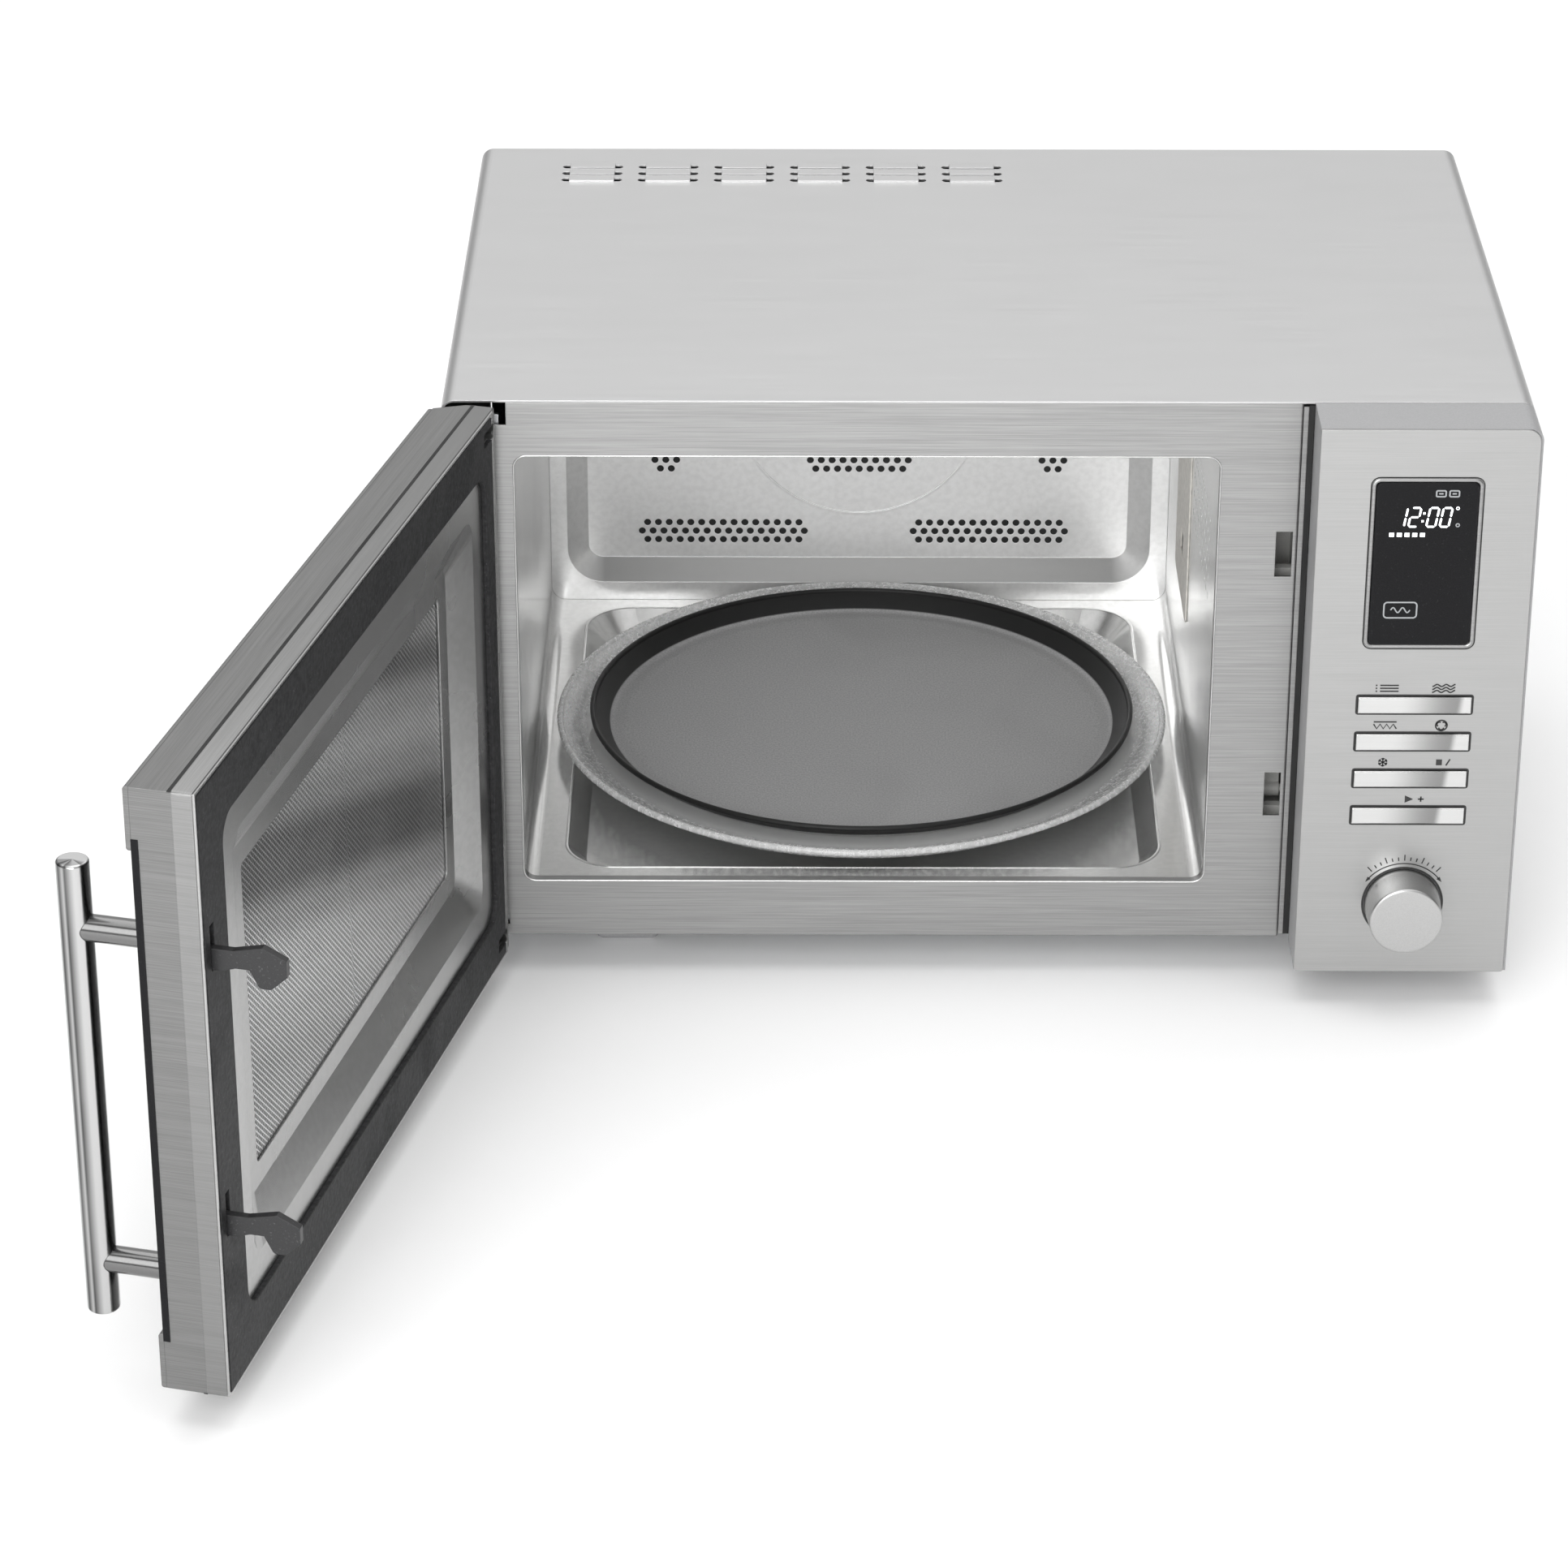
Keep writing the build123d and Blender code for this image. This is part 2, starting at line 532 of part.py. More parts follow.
with BuildPart() as convection_motor:
    with BuildSketch(facing(HOUSING_BACK + 8)):
        with Locations((CAVITY_X, CAVITY_Z)):
            Circle(28)
    extrude(amount=-20)
    with BuildSketch(facing(HOUSING_BACK + 10)):
        with Locations((CAVITY_X, CAVITY_Z)):
            RectangleRounded(66, 40, 6)
    extrude(amount=-12)
    # three feet that hold the motor off the hot housing
    with BuildSketch(facing(HOUSING_BACK + 0.1)):
        with Locations((CAVITY_X, CAVITY_Z)):
            with PolarLocations(23, 3, start_angle=30):
                Circle(3)
    extrude(amount=-9)
    with BuildSketch(facing(HOUSING_BACK)):
        with Locations((CAVITY_X, CAVITY_Z)):
            Circle(3 + PIN_CLEARANCE)
    extrude(amount=-22, mode=Mode.SUBTRACT)
write(convection_motor, "convection_motor")

with BuildPart() as grill_heater:
    with BuildLine(Plane.XY.offset(GRILL_Z)) as grill_path:
        FilletPolyline(
            (CAVITY_RIGHT + 22, GRILL_ENTRY[0]),
            (CAVITY_X - 110, GRILL_ENTRY[0]),
            (CAVITY_X - 110, FRONT + 250),
            (CAVITY_X + 110, FRONT + 250),
            (CAVITY_X + 110, FRONT + 190),
            (CAVITY_X - 60, FRONT + 190),
            (CAVITY_X - 60, GRILL_ENTRY[1]),
            (CAVITY_RIGHT + 22, GRILL_ENTRY[1]),
            radius=16,
        )
    with BuildSketch(Plane(grill_path.line @ 0, z_dir=grill_path.line % 0)):
        Circle(GRILL_TUBE)
    sweep()
write(grill_heater, "grill_heater")

with BuildPart() as waveguide_cover:
    with BuildSketch(Plane.YZ.offset(CAVITY_RIGHT - SHEET - 0.9)):
        with Locations((GUIDE_Y, GUIDE_Z)):
            RectangleRounded(GUIDE_LENGTH + 6, GUIDE_HEIGHT + 14, 4)
        with Locations((GUIDE_Y, GUIDE_Z - 22)):
            Rectangle(14, 12, mode=Mode.SUBTRACT)
    extrude(amount=0.8)
write(waveguide_cover, "waveguide_cover")

GUIDE_THICK = 34.0
ANTENNA_Z = GUIDE_Z + 14

with BuildPart() as waveguide:
    with BuildSketch(Plane.YZ.offset(CAVITY_RIGHT + 0.1)):
        with Locations((GUIDE_Y, GUIDE_Z)):
            Rectangle(GUIDE_LENGTH + 16, GUIDE_HEIGHT + 16)
            Rectangle(GUIDE_LENGTH - 6, GUIDE_HEIGHT - 6, mode=Mode.SUBTRACT)
    extrude(amount=1.2)
    with BuildSketch(Plane.YZ.offset(CAVITY_RIGHT + 0.1)):
        with Locations((GUIDE_Y, GUIDE_Z)):
            Rectangle(GUIDE_LENGTH, GUIDE_HEIGHT)
            Rectangle(GUIDE_LENGTH - 3, GUIDE_HEIGHT - 3, mode=Mode.SUBTRACT)
    extrude(amount=GUIDE_THICK)
    with BuildSketch(Plane.YZ.offset(CAVITY_RIGHT + 0.1 + GUIDE_THICK)):
        with Locations((GUIDE_Y, GUIDE_Z)):
            Rectangle(GUIDE_LENGTH, GUIDE_HEIGHT)
        with Locations((GUIDE_Y, ANTENNA_Z)):
            Circle(15, mode=Mode.SUBTRACT)
    extrude(amount=-1.5)
write(waveguide, "waveguide")

MAGNETRON_X = CAVITY_RIGHT + GUIDE_THICK + 0.3

with BuildPart() as magnetron:
    with BuildSketch(Plane.YZ.offset(MAGNETRON_X)):
        with Locations((GUIDE_Y, ANTENNA_Z)):
            Rectangle(92, 78)
    extrude(amount=3)
    with BuildSketch(Plane.YZ.offset(MAGNETRON_X)):
        with Locations((GUIDE_Y, ANTENNA_Z)):
            Circle(9)
    extrude(amount=-24)
    with BuildSketch(Plane.YZ.offset(MAGNETRON_X)):
        with Locations((GUIDE_Y, ANTENNA_Z)):
            Circle(19)
    extrude(amount=72)
    for fin in range(7):
        with BuildSketch(Plane.YZ.offset(MAGNETRON_X + 13 + 7 * fin)):
            with Locations((GUIDE_Y, ANTENNA_Z)):
                Rectangle(84, 66)
        extrude(amount=1.0)
    with BuildSketch(Plane.YZ.offset(MAGNETRON_X)):
        with Locations((GUIDE_Y - 43, ANTENNA_Z), (GUIDE_Y + 43, ANTENNA_Z)):
            Rectangle(2, 70)
    extrude(amount=66)
    with BuildSketch(Plane.YZ.offset(MAGNETRON_X + 62)):
        with Locations((GUIDE_Y, ANTENNA_Z)):
            Rectangle(84, 70)
    extrude(amount=2.5)
    with BuildSketch(Plane.YZ.offset(MAGNETRON_X + 64.5)):
        with Locations((GUIDE_Y, ANTENNA_Z)):
            Rectangle(60, 46)
    extrude(amount=22)
write(magnetron, "magnetron")

# ================================================================ power parts in the side compartment
BAY_X = 186.0

with BuildPart() as transformer:
    with BuildSketch(Plane.XY.offset(BOTTOM + 2 * SHEET + 0.1)):
        with Locations((BAY_X, -52)):
            Rectangle(104, 78)
    extrude(amount=2)
    with BuildSketch(Plane.XY.offset(BOTTOM + 2 * SHEET + 2.1)):
        with Locations((BAY_X, -52)):
            Rectangle(96, 58)
    extrude(amount=76)
    with BuildSketch(Plane.XY.offset(BOTTOM + 2 * SHEET + 20)):
        with Locations((BAY_X, -52)):
            RectangleRounded(64, 92, 14)
    extrude(amount=17)
    with BuildSketch(Plane.XY.offset(BOTTOM + 2 * SHEET + 42)):
        with Locations((BAY_X, -52)):
            RectangleRounded(62, 88, 14)
    extrude(amount=20)
write(transformer, "transformer")

with BuildPart() as capacitor:
    with BuildSketch(Plane.XZ.offset(-20)):
        with Locations((226, BOTTOM + 2 * SHEET + 16.2)):
            SlotOverall(50, 32)
    extrude(amount=-84)
    with BuildSketch(Plane.XZ.offset(-20)):
        with Locations((220, 40), (240, 40)):
            Rectangle(1, 6)
    extrude(amount=8)
write(capacitor, "capacitor")

FAN_X = 190.0
FAN_Z = 118.0
FAN_Y = REAR - 50.0
FAN_RADIUS = 52.0

with BuildPart() as fan_shroud:
    with BuildSketch(facing(FAN_Y)):
        with Locations((FAN_X, FAN_Z)):
            RectangleRounded(124, 118, 8)
            Circle(FAN_RADIUS + 2, mode=Mode.SUBTRACT)
    extrude(amount=2)
    with BuildSketch(facing(FAN_Y)):
        with Locations((FAN_X, FAN_Z)):
            Circle(FAN_RADIUS + 4)
            Circle(FAN_RADIUS + 2, mode=Mode.SUBTRACT)
    extrude(amount=-22)
    # crossbar for the motor
    with BuildSketch(facing(FAN_Y + 22)):
        with Locations((FAN_X, FAN_Z)):
            Rectangle(2 * FAN_RADIUS + 6, 12)
            Circle(3.2, mode=Mode.SUBTRACT)
    extrude(amount=-2)
    # upper and lower guides that lead the air past the magnetron
    with BuildSketch(facing(FAN_Y - 2)):
        with Locations((FAN_X, FAN_Z + 57), (FAN_X, FAN_Z - 57)):
            Rectangle(110, 2)
    extrude(amount=10)
write(fan_shroud, "fan_shroud")

with BuildPart() as cooling_fan:
    with BuildSketch(facing(FAN_Y + 16)):
        with Locations((FAN_X, FAN_Z)):
            Circle(14)
    extrude(amount=14)
    with BuildSketch(facing(FAN_Y + 12)):
        with Locations((FAN_X, FAN_Z)):
            with PolarLocations(31, 7):
                RectangleRounded(40, 22, 5, rotation=0)
    extrude(amount=1.6)
    with BuildSketch(facing(FAN_Y + 16)):
        with Locations((FAN_X, FAN_Z)):
            Circle(2.5)
    extrude(amount=-20)
write(cooling_fan, "cooling_fan")

with BuildPart() as cooling_motor:
    with BuildSketch(facing(FAN_Y + 24.2)):
        with Locations((FAN_X, FAN_Z)):
            RectangleRounded(58, 46, 4)
    extrude(amount=-18)
    with BuildSketch(facing(FAN_Y + 24.2)):
        with Locations((FAN_X, FAN_Z)):
            Circle(2.5 + PIN_CLEARANCE)
    extrude(amount=-13, mode=Mode.SUBTRACT)
write(cooling_motor, "cooling_motor")

with BuildPart() as oven_lamp:
    with BuildSketch(Plane.YZ.offset(CAVITY_RIGHT + 0.2)):
        with Locations((LAMP_Y, LAMP_Z)):
            Rectangle(120, 62)
            Rectangle(110, 52, mode=Mode.SUBTRACT)
    extrude(amount=1.2)
    with BuildSketch(Plane.YZ.offset(CAVITY_RIGHT + 0.2)):
        with Locations((LAMP_Y, LAMP_Z)):
            Rectangle(114, 56)
            Rectangle(111.6, 53.6, mode=Mode.SUBTRACT)
    extrude(amount=24)
    with BuildSketch(Plane.YZ.offset(CAVITY_RIGHT + 24.2)):
        with Locations((LAMP_Y, LAMP_Z)):
            Rectangle(114, 56)
    extrude(amount=1.2)
    with BuildSketch(Plane.YZ.offset(CAVITY_RIGHT + 25.4)):
        with Locations((LAMP_Y, LAMP_Z)):
            Circle(13)
    extrude(amount=14)
    with BuildSketch(Plane.YZ.offset(CAVITY_RIGHT + 24.2)):
        with Locations((LAMP_Y, LAMP_Z)):
            Circle(8)
    extrude(amount=-16)
    bulb_tip = (CAVITY_RIGHT + 8.2, LAMP_Y, LAMP_Z)
    fillet(oven_lamp.faces().filter_by(Plane.YZ).sort_by_distance(bulb_tip)[0].edges(), 6)
write(oven_lamp, "oven_lamp")

with BuildPart() as filter_board:
    with BuildSketch(Plane.XY.offset(270)):
        with Locations((BAY_X + 10, 70)):
            Rectangle(96, 120)
    extrude(amount=1.6)
    with BuildSketch(Plane.XY.offset(271.6)):
        with Locations((BAY_X - 6, 100), (BAY_X + 26, 96)):
            Circle(11)
        with Locations((BAY_X - 14, 54), (BAY_X + 12, 54)):
            Rectangle(16, 28)
        with Locations((BAY_X + 38, 40)):
            Rectangle(12, 44)
    extrude(amount=18)
write(filter_board, "filter_board")

# ---------------------------------------------------------------- door catch
CATCH_X = 138.5
CATCH_FRONT = FRONT + PLATE_RETURN + 0.3
CATCH_BACK = FRONT + 46
CATCH_LOW = BOTTOM + 56
CATCH_HIGH = BOTTOM + 232
LEVER_Y = FRONT + 33.5
LEVER_PIVOT_Z = CATCH_LOW + 10

with BuildPart() as latch_bracket:
    with BuildSketch(facing(CATCH_FRONT)):
        with Locations((CATCH_X, (CATCH_LOW + CATCH_HIGH) / 2)):
            Rectangle(26, CATCH_HIGH - CATCH_LOW)
            Rectangle(21, CATCH_HIGH - CATCH_LOW - 5, mode=Mode.SUBTRACT)
    extrude(amount=-(CATCH_BACK - CATCH_FRONT))
    with BuildSketch(facing(CATCH_BACK)):
        with Locations((CATCH_X, (CATCH_LOW + CATCH_HIGH) / 2)):
            Rectangle(26, CATCH_HIGH - CATCH_LOW)
    extrude(amount=2.5)
    with BuildSketch(Plane.YZ.offset(CATCH_X - 13)):
        with Locations((LEVER_Y, LEVER_PIVOT_Z)):
            Circle(2 + PIN_CLEARANCE)
    extrude(amount=26, mode=Mode.SUBTRACT)
    # drop-in ledges behind the slots
    with BuildSketch(facing(FRONT + 16)):
        with Locations((CATCH_X, SLOT_UPPER - 18), (CATCH_X, SLOT_LOWER - 18)):
            Rectangle(21.5, 7)
    extrude(amount=-5)
write(latch_bracket, "latch_bracket")

with BuildPart() as interlock_switches:
    with BuildSketch(Plane.YZ.offset(CATCH_X + 13.1)):
        with Locations(*[(FRONT + 32, z) for z in (SLOT_UPPER, (SLOT_UPPER + SLOT_LOWER) / 2, SLOT_LOWER)]):
            Rectangle(28, 16)
    extrude(amount=10)
    with BuildSketch(Plane.YZ.offset(CATCH_X + 16)):
        with Locations(*[(FRONT + 15, z) for z in (SLOT_UPPER, (SLOT_UPPER + SLOT_LOWER) / 2, SLOT_LOWER)]):
            Rectangle(8, 4)
    extrude(amount=1)
write(interlock_switches, "interlock_switches")

with BuildPart() as interlock_lever:
    with BuildSketch(Plane.YZ.offset(CATCH_X - 12.5)):
        with Locations((LEVER_Y, LEVER_PIVOT_Z)):
            Circle(2)
    extrude(amount=25)
    with BuildSketch(Plane.YZ.offset(CATCH_X - 9.5)):
        with Locations((LEVER_Y, LEVER_PIVOT_Z)):
            Circle(4)
            Rectangle(2.4, 32, align=(Align.CENTER, Align.MIN))
    extrude(amount=19)
write(interlock_lever, "interlock_lever")

# ================================================================ turntable drive
MOTOR_TOP = RECESS_FLOOR - SHEET - 0.1
SHAFT = 3.5

with BuildPart() as turntable_motor:
    with BuildSketch(Plane.XY.offset(MOTOR_TOP)):
        with Locations((CAVITY_X, TURNTABLE_Y)):
            Circle(24.5)
    extrude(amount=-14)
    with BuildSketch(Plane.XY.offset(MOTOR_TOP)):
        with Locations((CAVITY_X, TURNTABLE_Y)):
            RectangleRounded(64, 12, 5)
    extrude(amount=-1)
    with BuildSketch(Plane.XY.offset(MOTOR_TOP)):
        with Locations((CAVITY_X, TURNTABLE_Y)):
            Circle(SHAFT + PIN_CLEARANCE)
    extrude(amount=-9, mode=Mode.SUBTRACT)
write(turntable_motor, "turntable_motor")

with BuildPart() as drive_coupler:
    with BuildSketch(Plane.XY.offset(MOTOR_TOP - 8)):
        with Locations((CAVITY_X, TURNTABLE_Y)):
            Circle(SHAFT)
    extrude(amount=12)
    with BuildSketch(Plane.XY.offset(RECESS_FLOOR + 1)):
        with Locations((CAVITY_X, TURNTABLE_Y)):
            Circle(11)
            with PolarLocations(9, 3, start_angle=90):
                RectangleRounded(20, 7, 2)
    extrude(amount=GLASS_UNDERSIDE - RECESS_FLOOR - 1.2)
write(drive_coupler, "drive_coupler")

ROLLER_WIDTH = 8.0
ROLLER_AXLE = 2.0
ROLLER_Z = RECESS_FLOOR + FLOOR_GAP + ROLLER_RADIUS

with BuildPart() as roller_ring:
    with BuildSketch(Plane.XY.offset(ROLLER_Z - 3)):
        with Locations((CAVITY_X, TURNTABLE_Y)):
            Circle(ROLLER_TRACK - 7)
            Circle(ROLLER_TRACK - 13, mode=Mode.SUBTRACT)
    extrude(amount=6)
    for turn in range(3):
        heading = Vector(cos(radians(90 + 120 * turn)), sin(radians(90 + 120 * turn)), 0)
        axle_start = Vector(CAVITY_X, TURNTABLE_Y, ROLLER_Z) + heading * (ROLLER_TRACK - 10)
        with BuildSketch(Plane(axle_start, z_dir=heading)):
            Circle(ROLLER_AXLE)
        extrude(amount=16.2)
        with BuildSketch(Plane(axle_start + heading * 14.6, z_dir=heading)):
            Circle(ROLLER_AXLE + 1)
        extrude(amount=1.6)
write(roller_ring, "roller_ring")

for turn, roller_name in enumerate(("roller_back", "roller_left", "roller_right")):
    heading = Vector(cos(radians(90 + 120 * turn)), sin(radians(90 + 120 * turn)), 0)
    hub = Vector(CAVITY_X, TURNTABLE_Y, ROLLER_Z) + heading * (ROLLER_TRACK - ROLLER_WIDTH / 2)
    with BuildPart() as roller:
        with BuildSketch(Plane(hub, z_dir=heading)):
            Circle(ROLLER_RADIUS)
            Circle(ROLLER_AXLE + PIN_CLEARANCE, mode=Mode.SUBTRACT)
        extrude(amount=ROLLER_WIDTH)
        chamfer(roller.edges().filter_by(GeomType.CIRCLE).group_by(SortBy.LENGTH)[-1], 0.6)
    write(roller, roller_name)

RIM_RISE = 6.5
TRAY_REST = GLASS_TOP + 0.2
TRAY_RIM_RADIUS = 138.2
TRAY_FLOOR_RADIUS = 131.4
TRAY_RISE = 9.8
BEAD = 1.4

with BuildPart() as glass_turntable:
    with BuildSketch(Plane.XZ):
        with BuildLine():
            Polyline(
                (0, GLASS_UNDERSIDE),
                (TURNTABLE_RADIUS - 13, GLASS_UNDERSIDE),
                (TURNTABLE_RADIUS, GLASS_TOP + RIM_RISE - 3),
                (TURNTABLE_RADIUS, GLASS_TOP + RIM_RISE),
                (TURNTABLE_RADIUS - 3, GLASS_TOP + RIM_RISE),
                (TURNTABLE_RADIUS - 15, GLASS_TOP),
                (0, GLASS_TOP),
                close=True,
            )
        make_face()
        fillet(vertices().group_by(Axis.X)[1:-1], 1.2)
        fillet(vertices().group_by(Axis.X)[-1], 1.2)
    revolve(axis=Axis.Z)
    # three lugs that the coupler's arms drive
    with BuildSketch(Plane.XY.offset(GLASS_UNDERSIDE + 0.5)):
        with PolarLocations(16.5, 3, start_angle=30):
            RectangleRounded(8, 9, 2)
    extrude(amount=-7)
TURNTABLE_PLACE = Pos(CAVITY_X, TURNTABLE_Y, 0)
write(glass_turntable, "glass_turntable", TURNTABLE_PLACE)

with BuildPart() as baking_tray:
    with BuildSketch(Plane.XZ):
        with BuildLine():
            Polyline(
                (0, TRAY_REST),
                (TRAY_FLOOR_RADIUS + 1, TRAY_REST),
                (TRAY_RIM_RADIUS + 1, TRAY_REST + TRAY_RISE),
                (TRAY_RIM_RADIUS, TRAY_REST + TRAY_RISE),
                (TRAY_FLOOR_RADIUS, TRAY_REST + SHEET),
                (0, TRAY_REST + SHEET),
                close=True,
            )
        make_face()
        with Locations((TRAY_RIM_RADIUS + 0.8, TRAY_REST + TRAY_RISE - 0.6)):
            Circle(BEAD)
    revolve(axis=Axis.Z)
write(baking_tray, "baking_tray", TURNTABLE_PLACE)

# ================================================================ control panel
PANEL_WALL = 2.5
PANEL_CORNER = 6.0
PANEL_LOW = BOTTOM - 1.0
PANEL_HIGH = TOP - 0.5
PANEL_Z = (PANEL_LOW + PANEL_HIGH) / 2
SKIN = 1.0
BODY_FRONT = ahead(PANEL_PROUD - SKIN - 0.5)
DISPLAY_WIDTH = 47.9
DISPLAY_HEIGHT = 83.4
DISPLAY_Z = BOTTOM + 217.6
BUTTON_WIDTH = 53.8
BUTTON_HEIGHT = 8.6
BUTTON_Z = [BOTTOM + z for z in (144.1, 124.5, 104.8, 85.0)]
BUTTON_GAP = 0.6
KNOB_Z = BOTTOM + 37.0
KNOB_RADIUS = 18.5
KNOB_FRONT_RADIUS = 17.5
KNOB_PROUD = 19.5
BOARD_Y = ahead(19.6)

with BuildPart() as control_panel_body:
    with BuildSketch(facing(FRONT)):
        with Locations((PANEL_X, PANEL_Z)):
            Rectangle(PANEL_RIGHT - PANEL_LEFT, PANEL_HIGH - PANEL_LOW)
        fillet(vertices().group_by(Axis.Y)[-1].sort_by(Axis.X)[-1], PANEL_CORNER)
    extrude(amount=FRONT - BODY_FRONT)
    with BuildSketch(facing(FRONT)):
        with Locations((PANEL_X, PANEL_Z)):
            RectangleRounded(
                PANEL_RIGHT - PANEL_LEFT - 2 * PANEL_WALL, PANEL_HIGH - PANEL_LOW - 2 * PANEL_WALL, 4
            )
    extrude(amount=FRONT - BODY_FRONT - PANEL_WALL, mode=Mode.SUBTRACT)
    # pad that spaces the metal skin off the moulding
    with BuildSketch(facing(BODY_FRONT)):
        with Locations((PANEL_X, PANEL_Z)):
            RectangleRounded(PANEL_RIGHT - PANEL_LEFT - 6, PANEL_HIGH - PANEL_LOW - 5, 5)
    extrude(amount=0.5)
    with BuildSketch(facing(BODY_FRONT - 1)):
        with Locations((CONTROLS_X, DISPLAY_Z)):
            RectangleRounded(DISPLAY_WIDTH + 0.4, DISPLAY_HEIGHT + 0.4, 2.6)
        with Locations(*[(CONTROLS_X, z) for z in BUTTON_Z]):
            Rectangle(BUTTON_WIDTH + 2 * BUTTON_GAP, BUTTON_HEIGHT + 2 * BUTTON_GAP)
        with Locations((CONTROLS_X, KNOB_Z)):
            Circle(6)
    extrude(amount=-(PANEL_WALL + 2), mode=Mode.SUBTRACT)
write(control_panel_body, "control_panel_body")

with BuildPart() as control_panel_skin:
    with BuildSketch(facing(ahead(PANEL_PROUD - SKIN))):
        with Locations((PANEL_X - 0.7, PANEL_Z)):
            Rectangle(PANEL_RIGHT - PANEL_LEFT - 1.4, PANEL_HIGH - PANEL_LOW)
        fillet(vertices().group_by(Axis.Y)[-1].sort_by(Axis.X)[-1], PANEL_CORNER)
        fillet(vertices().group_by(Axis.Y)[0], 1.5)
        with Locations((CONTROLS_X, DISPLAY_Z)):
            RectangleRounded(DISPLAY_WIDTH + 0.4, DISPLAY_HEIGHT + 0.4, 2.6, mode=Mode.SUBTRACT)
        with Locations(*[(CONTROLS_X, z) for z in BUTTON_Z]):
            Rectangle(BUTTON_WIDTH + 2 * BUTTON_GAP, BUTTON_HEIGHT + 2 * BUTTON_GAP, mode=Mode.SUBTRACT)
        with Locations((CONTROLS_X, KNOB_Z)):
            Circle(KNOB_RADIUS + 0.75, mode=Mode.SUBTRACT)
    extrude(amount=SKIN)
write(control_panel_skin, "control_panel_skin")

with BuildPart() as display_window:
    with BuildSketch(facing(BODY_FRONT + PANEL_WALL)):
        with Locations((CONTROLS_X, DISPLAY_Z)):
            RectangleRounded(DISPLAY_WIDTH, DISPLAY_HEIGHT, 2.5)
    extrude(amount=PANEL_PROUD - 28.0 + 0.5 + 0.4)
    chamfer(display_window.edges().group_by(Axis.Y)[0], 0.4)
write(display_window, "display_window")

with BuildPart() as display_module:
    with BuildSketch(facing(BOARD_Y)):
        with Locations((CONTROLS_X, DISPLAY_Z)):
            Rectangle(44, 78)
    extrude(amount=8.2)
write(display_module, "display_module")

for button_name, button_z in zip(("rocker_upper", "rocker_middle", "rocker_lower", "start_button"), BUTTON_Z):
    with BuildPart() as button:
        with BuildSketch(facing(ahead(28.2))):
            with Locations((CONTROLS_X, button_z)):
                Rectangle(BUTTON_WIDTH, BUTTON_HEIGHT)
        extrude(amount=5.2)
        fillet(button.edges().group_by(Axis.Y)[0], 0.8)
        with BuildSketch(facing(ahead(28.2))):
            with Locations((CONTROLS_X, button_z)):
                Rectangle(38, 5)
        extrude(amount=-5.6)
        if button_name != "start_button":
            # trunnion the bar rocks on
            with BuildSketch(Plane.XY.offset(button_z - 4)):
                with Locations((CONTROLS_X, ahead(28.2))):
                    Circle(1.2)
            extrude(amount=8)
    write(button, button_name)

with BuildPart() as control_board:
    with BuildSketch(facing(BOARD_Y + 1.7)):
        with Locations((PANEL_X, PANEL_Z)):
            Rectangle(88, 262)
        with Locations((CONTROLS_X, KNOB_Z)):
            Circle(2.6, mode=Mode.SUBTRACT)
    extrude(amount=1.6)
    # key switches behind the ends of each bar
    with BuildSketch(facing(BOARD_Y + 0.1)):
        with Locations(*[(CONTROLS_X + dx, z) for dx in (-16, 16) for z in BUTTON_Z]):
            Rectangle(6, 5)
    extrude(amount=1.4)
    # relays, small transformer and connectors on the back
    with BuildSketch(facing(BOARD_Y + 1.7)):
        with Locations((182, 250), (204, 250), (226, 250)):
            Rectangle(16, 20)
        with Locations((190, 200)):
            Rectangle(36, 30)
    extrude(amount=-16)
    with BuildSketch(facing(BOARD_Y + 1.7)):
        with Locations((230, 200), (230, 120), (176, 120)):
            Rectangle(8, 26)
        with Locations((200, 120), (208, 90)):
            Rectangle(14, 14)
    extrude(amount=-8)
write(control_board, "control_board")

with BuildPart() as encoder:
    with BuildSketch(facing(BOARD_Y)):
        with Locations((CONTROLS_X, KNOB_Z)):
            Rectangle(13, 13)
    extrude(amount=6)
    with BuildSketch(facing(BOARD_Y - 6)):
        with Locations((CONTROLS_X, KNOB_Z)):
            Circle(4.5)
    extrude(amount=4.6)
    with BuildSketch(facing(BOARD_Y)):
        with Locations((CONTROLS_X, KNOB_Z)):
            Circle(3 + PIN_CLEARANCE)
    extrude(amount=12, mode=Mode.SUBTRACT)
write(encoder, "encoder")

knob_back = ahead(PANEL_PROUD - SKIN + 0.4)

with BuildPart() as knob:
    with BuildSketch(facing(knob_back)):
        with Locations((CONTROLS_X, KNOB_Z)):
            Circle(KNOB_RADIUS)
    with BuildSketch(facing(ahead(PANEL_PROUD + KNOB_PROUD))):
        with Locations((CONTROLS_X, KNOB_Z)):
            Circle(KNOB_FRONT_RADIUS)
    loft()
    fillet(knob.edges().group_by(Axis.Y)[0], 1.6)
    with BuildSketch(facing(knob_back)):
        with Locations((CONTROLS_X, KNOB_Z)):
            Circle(15)
            Circle(5.5, mode=Mode.SUBTRACT)
    extrude(amount=14, mode=Mode.SUBTRACT)
    with BuildSketch(facing(knob_back)):
        with Locations((CONTROLS_X, KNOB_Z)):
            Circle(3)
    extrude(amount=-10)
write(knob, "knob")

